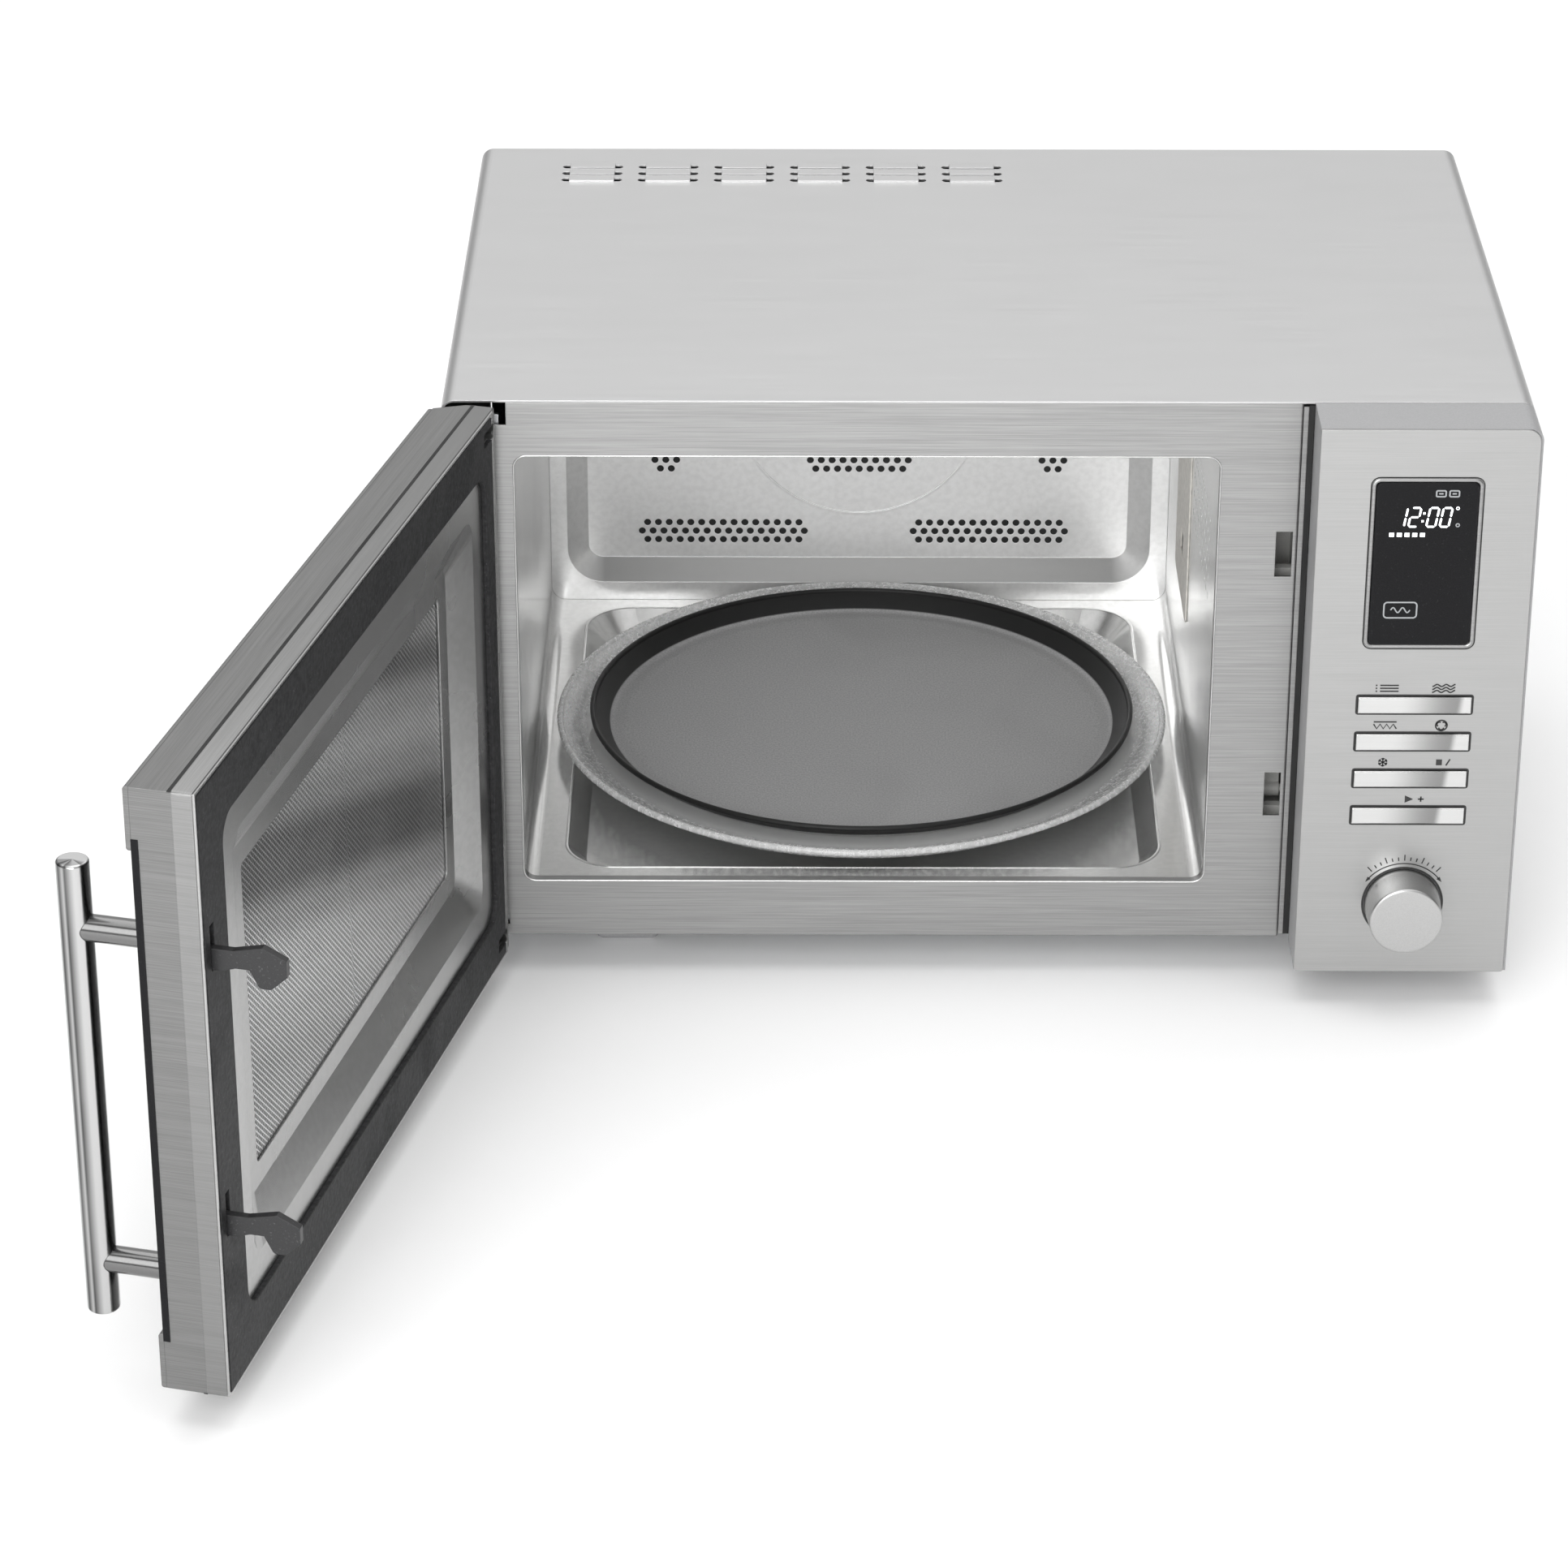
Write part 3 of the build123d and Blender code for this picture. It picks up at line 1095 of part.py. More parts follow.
# ================================================================ door, drawn shut
DOOR_LOW = BOTTOM - 1.0
DOOR_HIGH = TOP
DOOR_Z = (DOOR_LOW + DOOR_HIGH) / 2
DOOR_TALL = DOOR_HIGH - DOOR_LOW
GLASS_AHEAD = 29.7  # front of the black glass
FRAME_AHEAD = 9.3  # back of the outer frame
FLANGE_AHEAD = 8.4  # front of the inner plate's flange
LEDGE_AHEAD = 3.4  # back of the inner plate's ledge
INNER_SIDE = -sqrt(EDGE_SWING**2 - (HINGE_AHEAD - DOOR_INNER) ** 2)  # where the swing arc starts
SIDE_LIMIT = -10.0  # furthest left of the hinge axis
OUTER_SIDE = -1.5


def door_side(distance_ahead):
    """X of the slanted hinge-side edge of the door at a distance in front of the front plate."""
    from_axis = HINGE_AHEAD - distance_ahead
    if from_axis > 0:
        on_arc = -sqrt(max(EDGE_SWING**2 - from_axis**2, 0))
        return HINGE_X + max(on_arc, SIDE_LIMIT)
    return HINGE_X + SIDE_LIMIT + (SIDE_LIMIT - OUTER_SIDE) * from_axis / (PANEL_PROUD - HINGE_AHEAD)


POCKET = [(HINGE_X - 14, HINGE_X + 10), (ahead(26.5), ahead(0))]
HOOK_LEFT = 138.4
HOOK_THICK = 3.6
HOOK_REACH = 32.0
LATCH_TRAVEL = 4.0
HOOK_Z = [SLOT_UPPER, SLOT_LOWER + 1.0]
WINDOW_LEFT = -237.0
WINDOW_RIGHT = 122.0
WINDOW_LOW = BOTTOM + 25.0
WINDOW_HIGH = BOTTOM + 261.0
WINDOW_X = (WINDOW_LEFT + WINDOW_RIGHT) / 2
WINDOW_Z = (WINDOW_LOW + WINDOW_HIGH) / 2
WINDOW_WIDE = WINDOW_RIGHT - WINDOW_LEFT
WINDOW_TALL = WINDOW_HIGH - WINDOW_LOW
DISH_LEDGE = 16.0
DISH_SLOPE = 18.0
DISH_DEPTH = 8.0
MESH_MARGIN = 9.0
dish_rim = (WINDOW_WIDE - 2 * DISH_LEDGE, WINDOW_TALL - 2 * DISH_LEDGE)
dish_floor = (dish_rim[0] - 2 * DISH_SLOPE, dish_rim[1] - 2 * DISH_SLOPE)
mesh_size = (dish_floor[0] - 2 * MESH_MARGIN, dish_floor[1] - 2 * MESH_MARGIN)

with BuildPart() as door_frame:
    with BuildSketch(Plane.XY.offset(DOOR_LOW)):
        Polygon(
            (door_side(GLASS_AHEAD), ahead(GLASS_AHEAD)),
            (FREE_EDGE, ahead(GLASS_AHEAD)),
            (FREE_EDGE, ahead(FRAME_AHEAD)),
            (door_side(FRAME_AHEAD), ahead(FRAME_AHEAD)),
            (door_side(HINGE_AHEAD), ahead(HINGE_AHEAD)),
            align=None,
        )
    extrude(amount=DOOR_TALL)
    # rim that carries the inner plate
    with BuildSketch(facing(ahead(FLANGE_AHEAD))):
        with Locations((FREE_EDGE - 3, DOOR_Z)):
            Rectangle(FREE_EDGE - HINGE_X - 6, DOOR_TALL - 6, align=(Align.MAX, Align.CENTER))
    extrude(amount=FRAME_AHEAD - FLANGE_AHEAD + 1)
    # hollow between the outer walls and the window opening
    with BuildSketch(facing(ahead(FLANGE_AHEAD))):
        with Locations((FREE_EDGE - 6, DOOR_Z)):
            Rectangle(FREE_EDGE - HINGE_X - 12, DOOR_TALL - 12, align=(Align.MAX, Align.CENTER))
    extrude(amount=GLASS_AHEAD - FLANGE_AHEAD - 5.8, mode=Mode.SUBTRACT)
    # bed of the glass, and the opening behind it
    with BuildSketch(facing(ahead(GLASS_AHEAD - 3))):
        with Locations(((HINGE_X + FREE_EDGE) / 2 + 1, DOOR_Z)):
            Rectangle(DOOR_REACH - 6, 240)
    extrude(amount=4, mode=Mode.SUBTRACT)
    with BuildSketch(facing(ahead(GLASS_AHEAD - 8))):
        with Locations((WINDOW_X, WINDOW_Z)):
            RectangleRounded(dish_rim[0], dish_rim[1], 14)
    extrude(amount=9, mode=Mode.SUBTRACT)
    # hinge bosses with their bores
    with BuildSketch(Plane.XY.offset(UPPER_TONGUE - 3.5)):
        with Locations((HINGE_X + 1, HINGE_Y)):
            Rectangle(18, 12)
    extrude(amount=-14)
    with BuildSketch(Plane.XY.offset(LOWER_TONGUE + 3.5)):
        with Locations((HINGE_X + 1, HINGE_Y)):
            Rectangle(18, 12)
    extrude(amount=14)
    with BuildSketch(Plane.XY.offset(DOOR_LOW + 5)):
        with Locations((HINGE_X, HINGE_Y)):
            Circle(HINGE_PIN + PIN_CLEARANCE)
    extrude(amount=DOOR_TALL - 10, mode=Mode.SUBTRACT)
    # pockets that the hinge tongues sweep
    for tongue in (UPPER_TONGUE, LOWER_TONGUE):
        with BuildSketch(Plane.XY.offset(tongue - 3.5)):
            with Locations((POCKET[0][0], POCKET[1][0])):
                Rectangle(
                    POCKET[0][1] - POCKET[0][0], POCKET[1][1] - POCKET[1][0], align=(Align.MIN, Align.MIN)
                )
        extrude(amount=7, mode=Mode.SUBTRACT)
    # screw seats of the handle posts
    with BuildSketch(facing(ahead(20))):
        with Locations((FREE_EDGE - 14, BOTTOM + 51), (FREE_EDGE - 14, BOTTOM + 211)):
            Circle(2.2)
    extrude(amount=12, mode=Mode.SUBTRACT)
write(door_frame, "door_frame", DOOR_SWING)

with BuildPart() as door_glass:
    with BuildSketch(facing(ahead(GLASS_AHEAD - 3 + 0.05))):
        with Locations(((HINGE_X + FREE_EDGE) / 2 + 1, DOOR_Z)):
            Rectangle(DOOR_REACH - 6.2, 239.8)
        with Locations((FREE_EDGE - 14, BOTTOM + 51), (FREE_EDGE - 14, BOTTOM + 211)):
            Circle(3, mode=Mode.SUBTRACT)
    extrude(amount=2.9)
write(door_glass, "door_glass", DOOR_SWING)

TOP_BAND = 28.8
BOTTOM_BAND = 27.0
BAND = PANEL_PROUD - GLASS_AHEAD

with BuildPart() as door_bands:
    with BuildSketch(facing(ahead(GLASS_AHEAD + 0.05))):
        with Locations((FREE_EDGE, DOOR_HIGH)):
            Rectangle(FREE_EDGE - door_side(PANEL_PROUD), TOP_BAND, align=(Align.MAX, Align.MAX))
        with Locations((FREE_EDGE, DOOR_LOW)):
            Rectangle(FREE_EDGE - door_side(PANEL_PROUD), BOTTOM_BAND, align=(Align.MAX, Align.MIN))
    extrude(amount=BAND)
    fillet(door_bands.edges().filter_by(Axis.X).group_by(Axis.Y)[0], 1.2)
write(door_bands, "door_bands", DOOR_SWING)

with BuildPart() as door_plate:
    with BuildSketch(Plane.XY.offset(DOOR_LOW)):
        Polygon(
            (door_side(FLANGE_AHEAD), ahead(FLANGE_AHEAD)),
            (FREE_EDGE, ahead(FLANGE_AHEAD)),
            (FREE_EDGE, ahead(DOOR_INNER + 0.4)),
            (door_side(DOOR_INNER + 0.4), ahead(DOOR_INNER + 0.4)),
            (door_side(4.0), ahead(4.0)),
            align=None,
        )
    extrude(amount=DOOR_TALL)
    # bed of the choke cover
    with BuildSketch(facing(ahead(LEDGE_AHEAD))):
        with Locations((FREE_EDGE - 1.2, DOOR_Z)):
            Rectangle(FREE_EDGE - 1.2 - (HINGE_X - 2), DOOR_TALL - 2.4, align=(Align.MAX, Align.CENTER))
    extrude(amount=-LEDGE_AHEAD, mode=Mode.SUBTRACT)
    # hollow in front of the ledge
    with BuildSketch(facing(ahead(LEDGE_AHEAD + SHEET))):
        with Locations((FREE_EDGE - 1.2, DOOR_Z)):
            Rectangle(FREE_EDGE - 1.2 - (HINGE_X - 2), DOOR_TALL - 2.4, align=(Align.MAX, Align.CENTER))
    extrude(amount=10, mode=Mode.SUBTRACT)
    # dish that carries the see-through screen
    with BuildSketch(facing(ahead(LEDGE_AHEAD))):
        with Locations((WINDOW_X, WINDOW_Z)):
            RectangleRounded(dish_rim[0] + 2, dish_rim[1] + 2, 11)
    with BuildSketch(facing(ahead(LEDGE_AHEAD + DISH_DEPTH + SHEET))):
        with Locations((WINDOW_X, WINDOW_Z)):
            RectangleRounded(dish_floor[0] + 2, dish_floor[1] + 2, 7)
    loft()
    with BuildSketch(facing(ahead(LEDGE_AHEAD))):
        with Locations((WINDOW_X, WINDOW_Z)):
            RectangleRounded(dish_rim[0], dish_rim[1], 10)
    with BuildSketch(facing(ahead(LEDGE_AHEAD + DISH_DEPTH))):
        with Locations((WINDOW_X, WINDOW_Z)):
            RectangleRounded(dish_floor[0], dish_floor[1], 6)
    loft(mode=Mode.SUBTRACT)
    with BuildSketch(facing(ahead(LEDGE_AHEAD))):
        with Locations((WINDOW_X, WINDOW_Z)):
            RectangleRounded(mesh_size[0] - 4, mesh_size[1] - 4, 3)
    extrude(amount=DISH_DEPTH + 4, mode=Mode.SUBTRACT)
    # slots that the latch hooks slide in
    with BuildSketch(facing(ahead(0))):
        with Locations(*[(HOOK_LEFT + HOOK_THICK / 2, z - 6) for z in HOOK_Z]):
            Rectangle(HOOK_THICK + 1.2, 17 + LATCH_TRAVEL, align=(Align.CENTER, Align.MIN))
    extrude(amount=9, mode=Mode.SUBTRACT)
    for tongue in (UPPER_TONGUE, LOWER_TONGUE):
        with BuildSketch(Plane.XY.offset(tongue - 3.5)):
            with Locations((POCKET[0][0], POCKET[1][0])):
                Rectangle(
                    POCKET[0][1] - POCKET[0][0], POCKET[1][1] - POCKET[1][0], align=(Align.MIN, Align.MIN)
                )
        extrude(amount=7, mode=Mode.SUBTRACT)
write(door_plate, "door_plate", DOOR_SWING)

with BuildPart() as door_mesh:
    with BuildSketch(facing(ahead(LEDGE_AHEAD + DISH_DEPTH + SHEET + 0.05))):
        with Locations((WINDOW_X, WINDOW_Z)):
            RectangleRounded(mesh_size[0] + 6, mesh_size[1] + 6, 4)
    extrude(amount=0.8)
write(door_mesh, "door_mesh", DOOR_SWING)

with BuildPart() as choke_cover:
    with BuildSketch(facing(ahead(LEDGE_AHEAD - 0.05))):
        with Locations((FREE_EDGE - 1.5, DOOR_Z)):
            Rectangle(FREE_EDGE - 1.5 - (HINGE_X - 1.6), DOOR_TALL - 3.0, align=(Align.MAX, Align.CENTER))
        with Locations((WINDOW_X, WINDOW_Z)):
            RectangleRounded(WINDOW_WIDE, WINDOW_TALL, 12, mode=Mode.SUBTRACT)
        with Locations(*[(HOOK_LEFT + HOOK_THICK / 2, z - 6) for z in HOOK_Z]):
            Rectangle(
                HOOK_THICK + 1.2, 17 + LATCH_TRAVEL, align=(Align.CENTER, Align.MIN), mode=Mode.SUBTRACT
            )
        with Locations((HINGE_X, UPPER_TONGUE), (HINGE_X, LOWER_TONGUE)):
            Rectangle(20, 7, mode=Mode.SUBTRACT)
    extrude(amount=-(LEDGE_AHEAD - 0.05 - DOOR_INNER))
    fillet(choke_cover.edges().filter_by(GeomType.CIRCLE).group_by(Axis.Y)[-1], 0.6)
write(choke_cover, "choke_cover", DOOR_SWING)

# handle
HANDLE_X = FREE_EDGE - 14.0
HANDLE_RADIUS = 7.0
HANDLE_AHEAD = GLASS_AHEAD + 32.0
HANDLE_LOW = BOTTOM + 26.0
HANDLE_LENGTH = 216.0
POST_RADIUS = 5.85
POST_Z = [BOTTOM + 51.0, BOTTOM + 211.0]

with BuildPart() as handle_bar:
    with BuildSketch(Plane.XY.offset(HANDLE_LOW)):
        with Locations((HANDLE_X, ahead(HANDLE_AHEAD))):
            Circle(HANDLE_RADIUS)
    extrude(amount=HANDLE_LENGTH)
    fillet(handle_bar.edges().filter_by(GeomType.CIRCLE), 1.2)
    with BuildSketch(facing(ahead(HANDLE_AHEAD))):
        with Locations(*[(HANDLE_X, z) for z in POST_Z]):
            Circle(POST_RADIUS + 0.02)
    extrude(amount=-HANDLE_RADIUS - 1, mode=Mode.SUBTRACT)
write(handle_bar, "handle_bar", DOOR_SWING)

with BuildPart() as handle_posts:
    with BuildSketch(facing(ahead(GLASS_AHEAD))):
        with Locations(*[(HANDLE_X, z) for z in POST_Z]):
            Circle(POST_RADIUS)
    extrude(amount=HANDLE_AHEAD - GLASS_AHEAD - 0.1)
    with BuildSketch(facing(ahead(GLASS_AHEAD))):
        with Locations(*[(HANDLE_X, z) for z in POST_Z]):
            Circle(2.0)
    extrude(amount=-11)
write(handle_posts, "handle_posts", DOOR_SWING)

# latch slide with its two hooks
SLIDE_AHEAD = (13.0, 17.5)  # back and front of the slide bar

with BuildPart() as latch_hooks:
    with BuildSketch(facing(ahead(SLIDE_AHEAD[0]))):
        with Locations((HOOK_LEFT - 4.4, (HOOK_Z[1] - 8 + HOOK_Z[0] + 8) / 2)):
            Rectangle(8, HOOK_Z[0] - HOOK_Z[1] + 16, align=(Align.MIN, Align.CENTER))
    extrude(amount=SLIDE_AHEAD[1] - SLIDE_AHEAD[0])
    for hook_z in HOOK_Z:
        with BuildSketch(Plane.YZ.offset(HOOK_LEFT)):
            with BuildLine():
                Polyline(
                    (ahead(SLIDE_AHEAD[0] + 1), hook_z + 4.5),
                    (ahead(SLIDE_AHEAD[0] + 1), hook_z - 5.5),
                    (ahead(-3), hook_z - 5.5),
                    (ahead(-9), hook_z - 3.5),
                    (ahead(-15), hook_z - 3.5),
                    (ahead(-19), hook_z - 11.5),
                    (ahead(-24), hook_z - 11.5),
                    (ahead(-31), hook_z - 5.0),
                    (ahead(-31), hook_z + 2.5),
                    (ahead(-21), hook_z + 7.5),
                    (ahead(-8), hook_z + 4.5),
                    close=True,
                )
            make_face()
            fillet(vertices().group_by(Axis.Y)[0], 2.4)
        extrude(amount=HOOK_THICK)
write(latch_hooks, "latch_hooks", DOOR_SWING)

SPRING_LOW = HOOK_Z[0] + 8.2
SPRING_HIGH = SPRING_LOW + 16.0
SPRING_WIRE = 0.45
SPRING_COIL = 3.2
spring_foot = (HOOK_LEFT - 0.4, ahead((SLIDE_AHEAD[0] + SLIDE_AHEAD[1]) / 2), SPRING_LOW + SPRING_WIRE)

with BuildPart() as latch_spring:
    with BuildLine() as spring_path:
        Helix(2.0, 14.0, SPRING_COIL, center=spring_foot)
    with BuildSketch(Plane(spring_path.line @ 0, z_dir=spring_path.line % 0)):
        Circle(SPRING_WIRE)
    sweep(is_frenet=True)
write(latch_spring, "latch_spring", DOOR_SWING)
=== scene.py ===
"""Looks of a counter-top combination microwave oven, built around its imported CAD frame.

Sizes are millimetres in the row frame (+X right, +Y back, +Z up, feet on z = 0) and become metres
when a mesh is made. Door pieces are drawn on the shut door and then swung open with it.
"""

import json
import logging
from dataclasses import dataclass
from enum import Enum
from math import pi, radians, tau

import bmesh
import bpy
import numpy as np
from mathutils import Matrix, Vector


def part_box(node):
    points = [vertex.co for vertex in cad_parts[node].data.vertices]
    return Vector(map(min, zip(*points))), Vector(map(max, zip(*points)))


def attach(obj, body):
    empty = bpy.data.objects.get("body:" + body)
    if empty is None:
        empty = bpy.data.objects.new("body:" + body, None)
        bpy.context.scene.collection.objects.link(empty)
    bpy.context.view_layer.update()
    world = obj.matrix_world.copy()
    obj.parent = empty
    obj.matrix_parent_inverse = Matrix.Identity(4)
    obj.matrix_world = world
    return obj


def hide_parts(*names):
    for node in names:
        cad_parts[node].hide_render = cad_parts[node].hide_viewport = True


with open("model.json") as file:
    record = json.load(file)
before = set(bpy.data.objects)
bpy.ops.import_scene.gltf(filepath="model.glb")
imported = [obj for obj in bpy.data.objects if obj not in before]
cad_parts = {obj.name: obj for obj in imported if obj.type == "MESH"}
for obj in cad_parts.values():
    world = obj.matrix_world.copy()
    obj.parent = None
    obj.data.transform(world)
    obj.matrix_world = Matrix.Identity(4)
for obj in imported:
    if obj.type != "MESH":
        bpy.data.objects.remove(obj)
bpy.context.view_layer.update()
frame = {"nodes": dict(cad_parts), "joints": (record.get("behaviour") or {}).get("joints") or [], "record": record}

MM = 0.001
LOG = logging.getLogger("oven")

Array = np.ndarray
Shape = tuple[Array, Array]


# ---------------------------------------------------------------- places read from the frame
@dataclass(frozen=True)
class Box:
    """Lowest and highest corner of something, in millimetres."""

    low: Array
    high: Array

    @property
    def centre(self) -> Array:
        """Middle of the box."""
        return (self.low + self.high) / 2

    @property
    def size(self) -> Array:
        """Width, depth and height of the box."""
        return self.high - self.low


def box_of(node: str) -> Box:
    """Box of a CAD node at rest.

    Args:
        node: Name of the CAD node.

    Returns:
        Its box in millimetres.
    """
    low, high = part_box(node)
    return Box(np.array(low) / MM, np.array(high) / MM)


class DoorSwing:
    """Turn about the hinge that takes the shut door to where it stands open at rest."""

    def __init__(self, joint_name: str = "door_hinge") -> None:
        """Read the pivot and the opening angle from the door's joint."""
        joint = next(j for j in frame["joints"] if j["name"] == joint_name)
        self.pivot = np.array(joint["pos_m"]) / MM
        self.angle = -radians(max(joint["range_deg"]))

    def turned(self, points: Array, angle: float) -> Array:
        """Points turned about the hinge's upright axis.

        Args:
            points: Rows of x, y, z.
            angle: Turn in radians, anticlockwise from above.

        Returns:
            The turned rows: x' = x cos a - y sin a and y' = x sin a + y cos a about the pivot.
        """
        x, y = (points[:, :2] - self.pivot[:2]).T
        flat = np.stack([x * np.cos(angle) - y * np.sin(angle), x * np.sin(angle) + y * np.cos(angle)], 1)
        return np.column_stack([flat + self.pivot[:2], points[:, 2]])

    def opened(self, points: Array) -> Array:
        """Points drawn on the shut door, moved to the open door."""
        return self.turned(points, self.angle)

    def shut_box(self, node: str) -> Box:
        """Box of a door node as if the door were shut.

        Args:
            node: Name of the CAD node.

        Returns:
            Its box in millimetres.
        """
        mesh = frame["nodes"][node].data
        points = np.empty(len(mesh.vertices) * 3, np.float32)
        mesh.vertices.foreach_get("co", points)
        shut = self.turned(points.reshape(-1, 3) / MM, -self.angle)
        return Box(shut.min(0), shut.max(0))


# ---------------------------------------------------------------- shapes from arrays
def grid_faces(rows: int, columns: int, wrap_rows: bool = False, wrap_columns: bool = False) -> Array:
    """Four-sided faces between neighbouring points of a grid.

    Args:
        rows: Number of grid rows.
        columns: Number of points in a row.
        wrap_rows: Join the last row to the first.
        wrap_columns: Join the last point of each row to its first.

    Returns:
        One row of four point numbers per face.
    """
    row = np.arange(rows if wrap_rows else rows - 1)[:, None]
    column = np.arange(columns if wrap_columns else columns - 1)[None, :]
    next_row, next_column = (row + 1) % rows, (column + 1) % columns
    corners = [
        row * columns + column,
        row * columns + next_column,
        next_row * columns + next_column,
        next_row * columns + column,
    ]
    return np.stack(corners, -1).reshape(-1, 4)


def joined(shapes: list[Shape]) -> Shape:
    """Several shapes as one, with the point numbers of each moved past those before it.

    Args:
        shapes: The shapes.

    Returns:
        Points and faces of all.
    """
    starts = np.cumsum([0] + [len(points) for points, _ in shapes[:-1]])
    points = np.concatenate([points for points, _ in shapes])
    faces = np.concatenate([faces + start for (_, faces), start in zip(shapes, starts)])
    return points, faces


def lathe(profile: Array, centre: Array, steps: int, axis: int = 2) -> Shape:
    """Surface of revolution: each profile point (r, h) goes round the axis at radius r and height h.

    Args:
        profile: Rows of radius and height, from pole to pole or round a closed section.
        centre: Point on the axis at height 0.
        steps: Number of steps round the circle.
        axis: 2 turns about +Z; 1 turns about the Y axis with height towards the front.

    Returns:
        Points and faces.
    """
    turn = np.linspace(0, tau, steps, endpoint=False)
    radius, height = profile[:, 0][:, None], profile[:, 1][:, None]
    across, up = radius * np.cos(turn), radius * np.sin(turn)
    along = height + 0 * turn
    grid = (across, up, along) if axis == 2 else (across, -along, up)
    points = np.stack(grid, -1).reshape(-1, 3) + centre
    return points, grid_faces(len(profile), steps, wrap_columns=True)


def arc(
    centre: Array | tuple[float, float], radius: float, start: float, end: float, steps: int = 8
) -> Array:
    """Points centre + radius (cos a, sin a) of a circular arc, with a from start to end in degrees."""
    turn = np.radians(np.linspace(start, end, steps))
    return np.stack([centre[0] + radius * np.cos(turn), centre[1] + radius * np.sin(turn)], 1)


def rounded_rectangle(width: float, height: float, radius: float, steps: int = 7) -> Array:
    """Closed outline of a rectangle about the origin, with a quarter circle at each corner.

    Args:
        width: Size across.
        height: Size upwards.
        radius: Radius of the corners.
        steps: Points in each corner.

    Returns:
        Rows of (across, up).
    """
    x, z = width / 2 - radius, height / 2 - radius
    corners = [((x, z), 0), ((-x, z), 90), ((-x, -z), 180), ((x, -z), 270)]
    return np.concatenate([arc(at, radius, start, start + 90, steps) for at, start in corners])


@dataclass(frozen=True)
class Stroke:
    """A line of some width drawn on a flat surface."""

    points: Array
    width: float | Array
    closed: bool = False

    def solid(self, lift: Array) -> Shape:
        """The line as a thin solid: a section carried along the path, square to it at each point.

        Args:
            lift: Rows of (share of half the width, height over the surface) round the section.

        Returns:
            Points as (across, height, up) and faces.
        """
        path = np.asarray(self.points, float)
        ahead, behind = np.roll(path, -1, 0), np.roll(path, 1, 0)
        if not self.closed:
            ahead[-1], behind[0] = path[-1], path[0]
        heading = ahead - behind
        heading /= np.linalg.norm(heading, axis=1, keepdims=True)
        side = np.stack([-heading[:, 1], heading[:, 0]], 1)
        half = np.broadcast_to(np.asarray(self.width, float) / 2, len(path))
        flat = path[:, None] + side[:, None] * (half[:, None] * lift[:, 0])[:, :, None]
        high = np.broadcast_to(lift[:, 1], flat.shape[:2])
        points = np.stack([flat[..., 0], high, flat[..., 1]], -1).reshape(-1, 3)
        faces = grid_faces(len(path), len(lift), self.closed, True)
        if not self.closed and len(lift) == 4:
            last = (len(path) - 1) * 4
            ends = np.array([[3, 2, 1, 0], [last, last + 1, last + 2, last + 3]])
            faces = np.concatenate([faces, ends])
        return points, faces


def block(low: Array, high: Array) -> Shape:
    """Rectangular block between two corners."""
    share = np.array([(x, y, z) for z in (0, 1) for x, y in ((0, 0), (1, 0), (1, 1), (0, 1))])
    sides = [(k, (k + 1) % 4, (k + 1) % 4 + 4, k + 4) for k in range(4)]
    return low + share * (high - low), np.array([(3, 2, 1, 0), (4, 5, 6, 7), *sides])


FLAT_SECTION = np.array([(-1, 0), (-1, 1), (1, 1), (1, 0)], float)


def half_round(height: float, steps: int = 7) -> Array:
    """Section of a raised bead: half an ellipse from edge to edge, and flat below."""
    turn = np.linspace(pi, 0, steps)
    return np.stack([np.cos(turn), height * np.sin(turn)], 1)


def drawn_on_front(strokes: list[Stroke], x: float, z: float, front: float, thickness: float) -> Shape:
    """Strokes laid on an upright face that looks to the front.

    Args:
        strokes: What is drawn, about (0, 0).
        x: Place of the drawing's middle across the oven.
        z: Its height.
        front: Y of the face that it lies on.
        thickness: How far it stands proud.

    Returns:
        Points and faces.
    """
    section = FLAT_SECTION * (1, thickness)
    points, faces = joined([stroke.solid(section) for stroke in strokes])
    return points * (1, -1, 1) + (x, front, z), faces


def piece_from(name: str, shape: Shape, body: str, smooth: bool = True) -> bpy.types.Object:
    """Mesh object of a shape, welded, with outward faces, riding on a body.

    Args:
        name: Name of the piece.
        shape: Points in millimetres and faces.
        body: CAD body that it moves with.
        smooth: Shade smoothly, with edges kept where faces meet at a sharp angle.

    Returns:
        The new object.
    """
    points, faces = shape
    mesh = bpy.data.meshes.new(name)
    mesh.from_pydata((points * MM).tolist(), [], faces.tolist())
    solid = bmesh.new()
    solid.from_mesh(mesh)
    bmesh.ops.remove_doubles(solid, verts=solid.verts, dist=2e-6)
    bmesh.ops.recalc_face_normals(solid, faces=solid.faces)
    solid.to_mesh(mesh)
    solid.free()
    if smooth:
        mesh.shade_smooth()
        mesh.set_sharp_from_angle(angle=radians(32))
    piece = bpy.data.objects.new(name, mesh)
    bpy.context.scene.collection.objects.link(piece)
    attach(piece, body)
    LOG.info("piece %s on %s, %d faces", name, body, len(mesh.polygons))
    return piece


# ---------------------------------------------------------------- shader helpers
Socket = bpy.types.NodeSocket
Feed = Socket | float | tuple


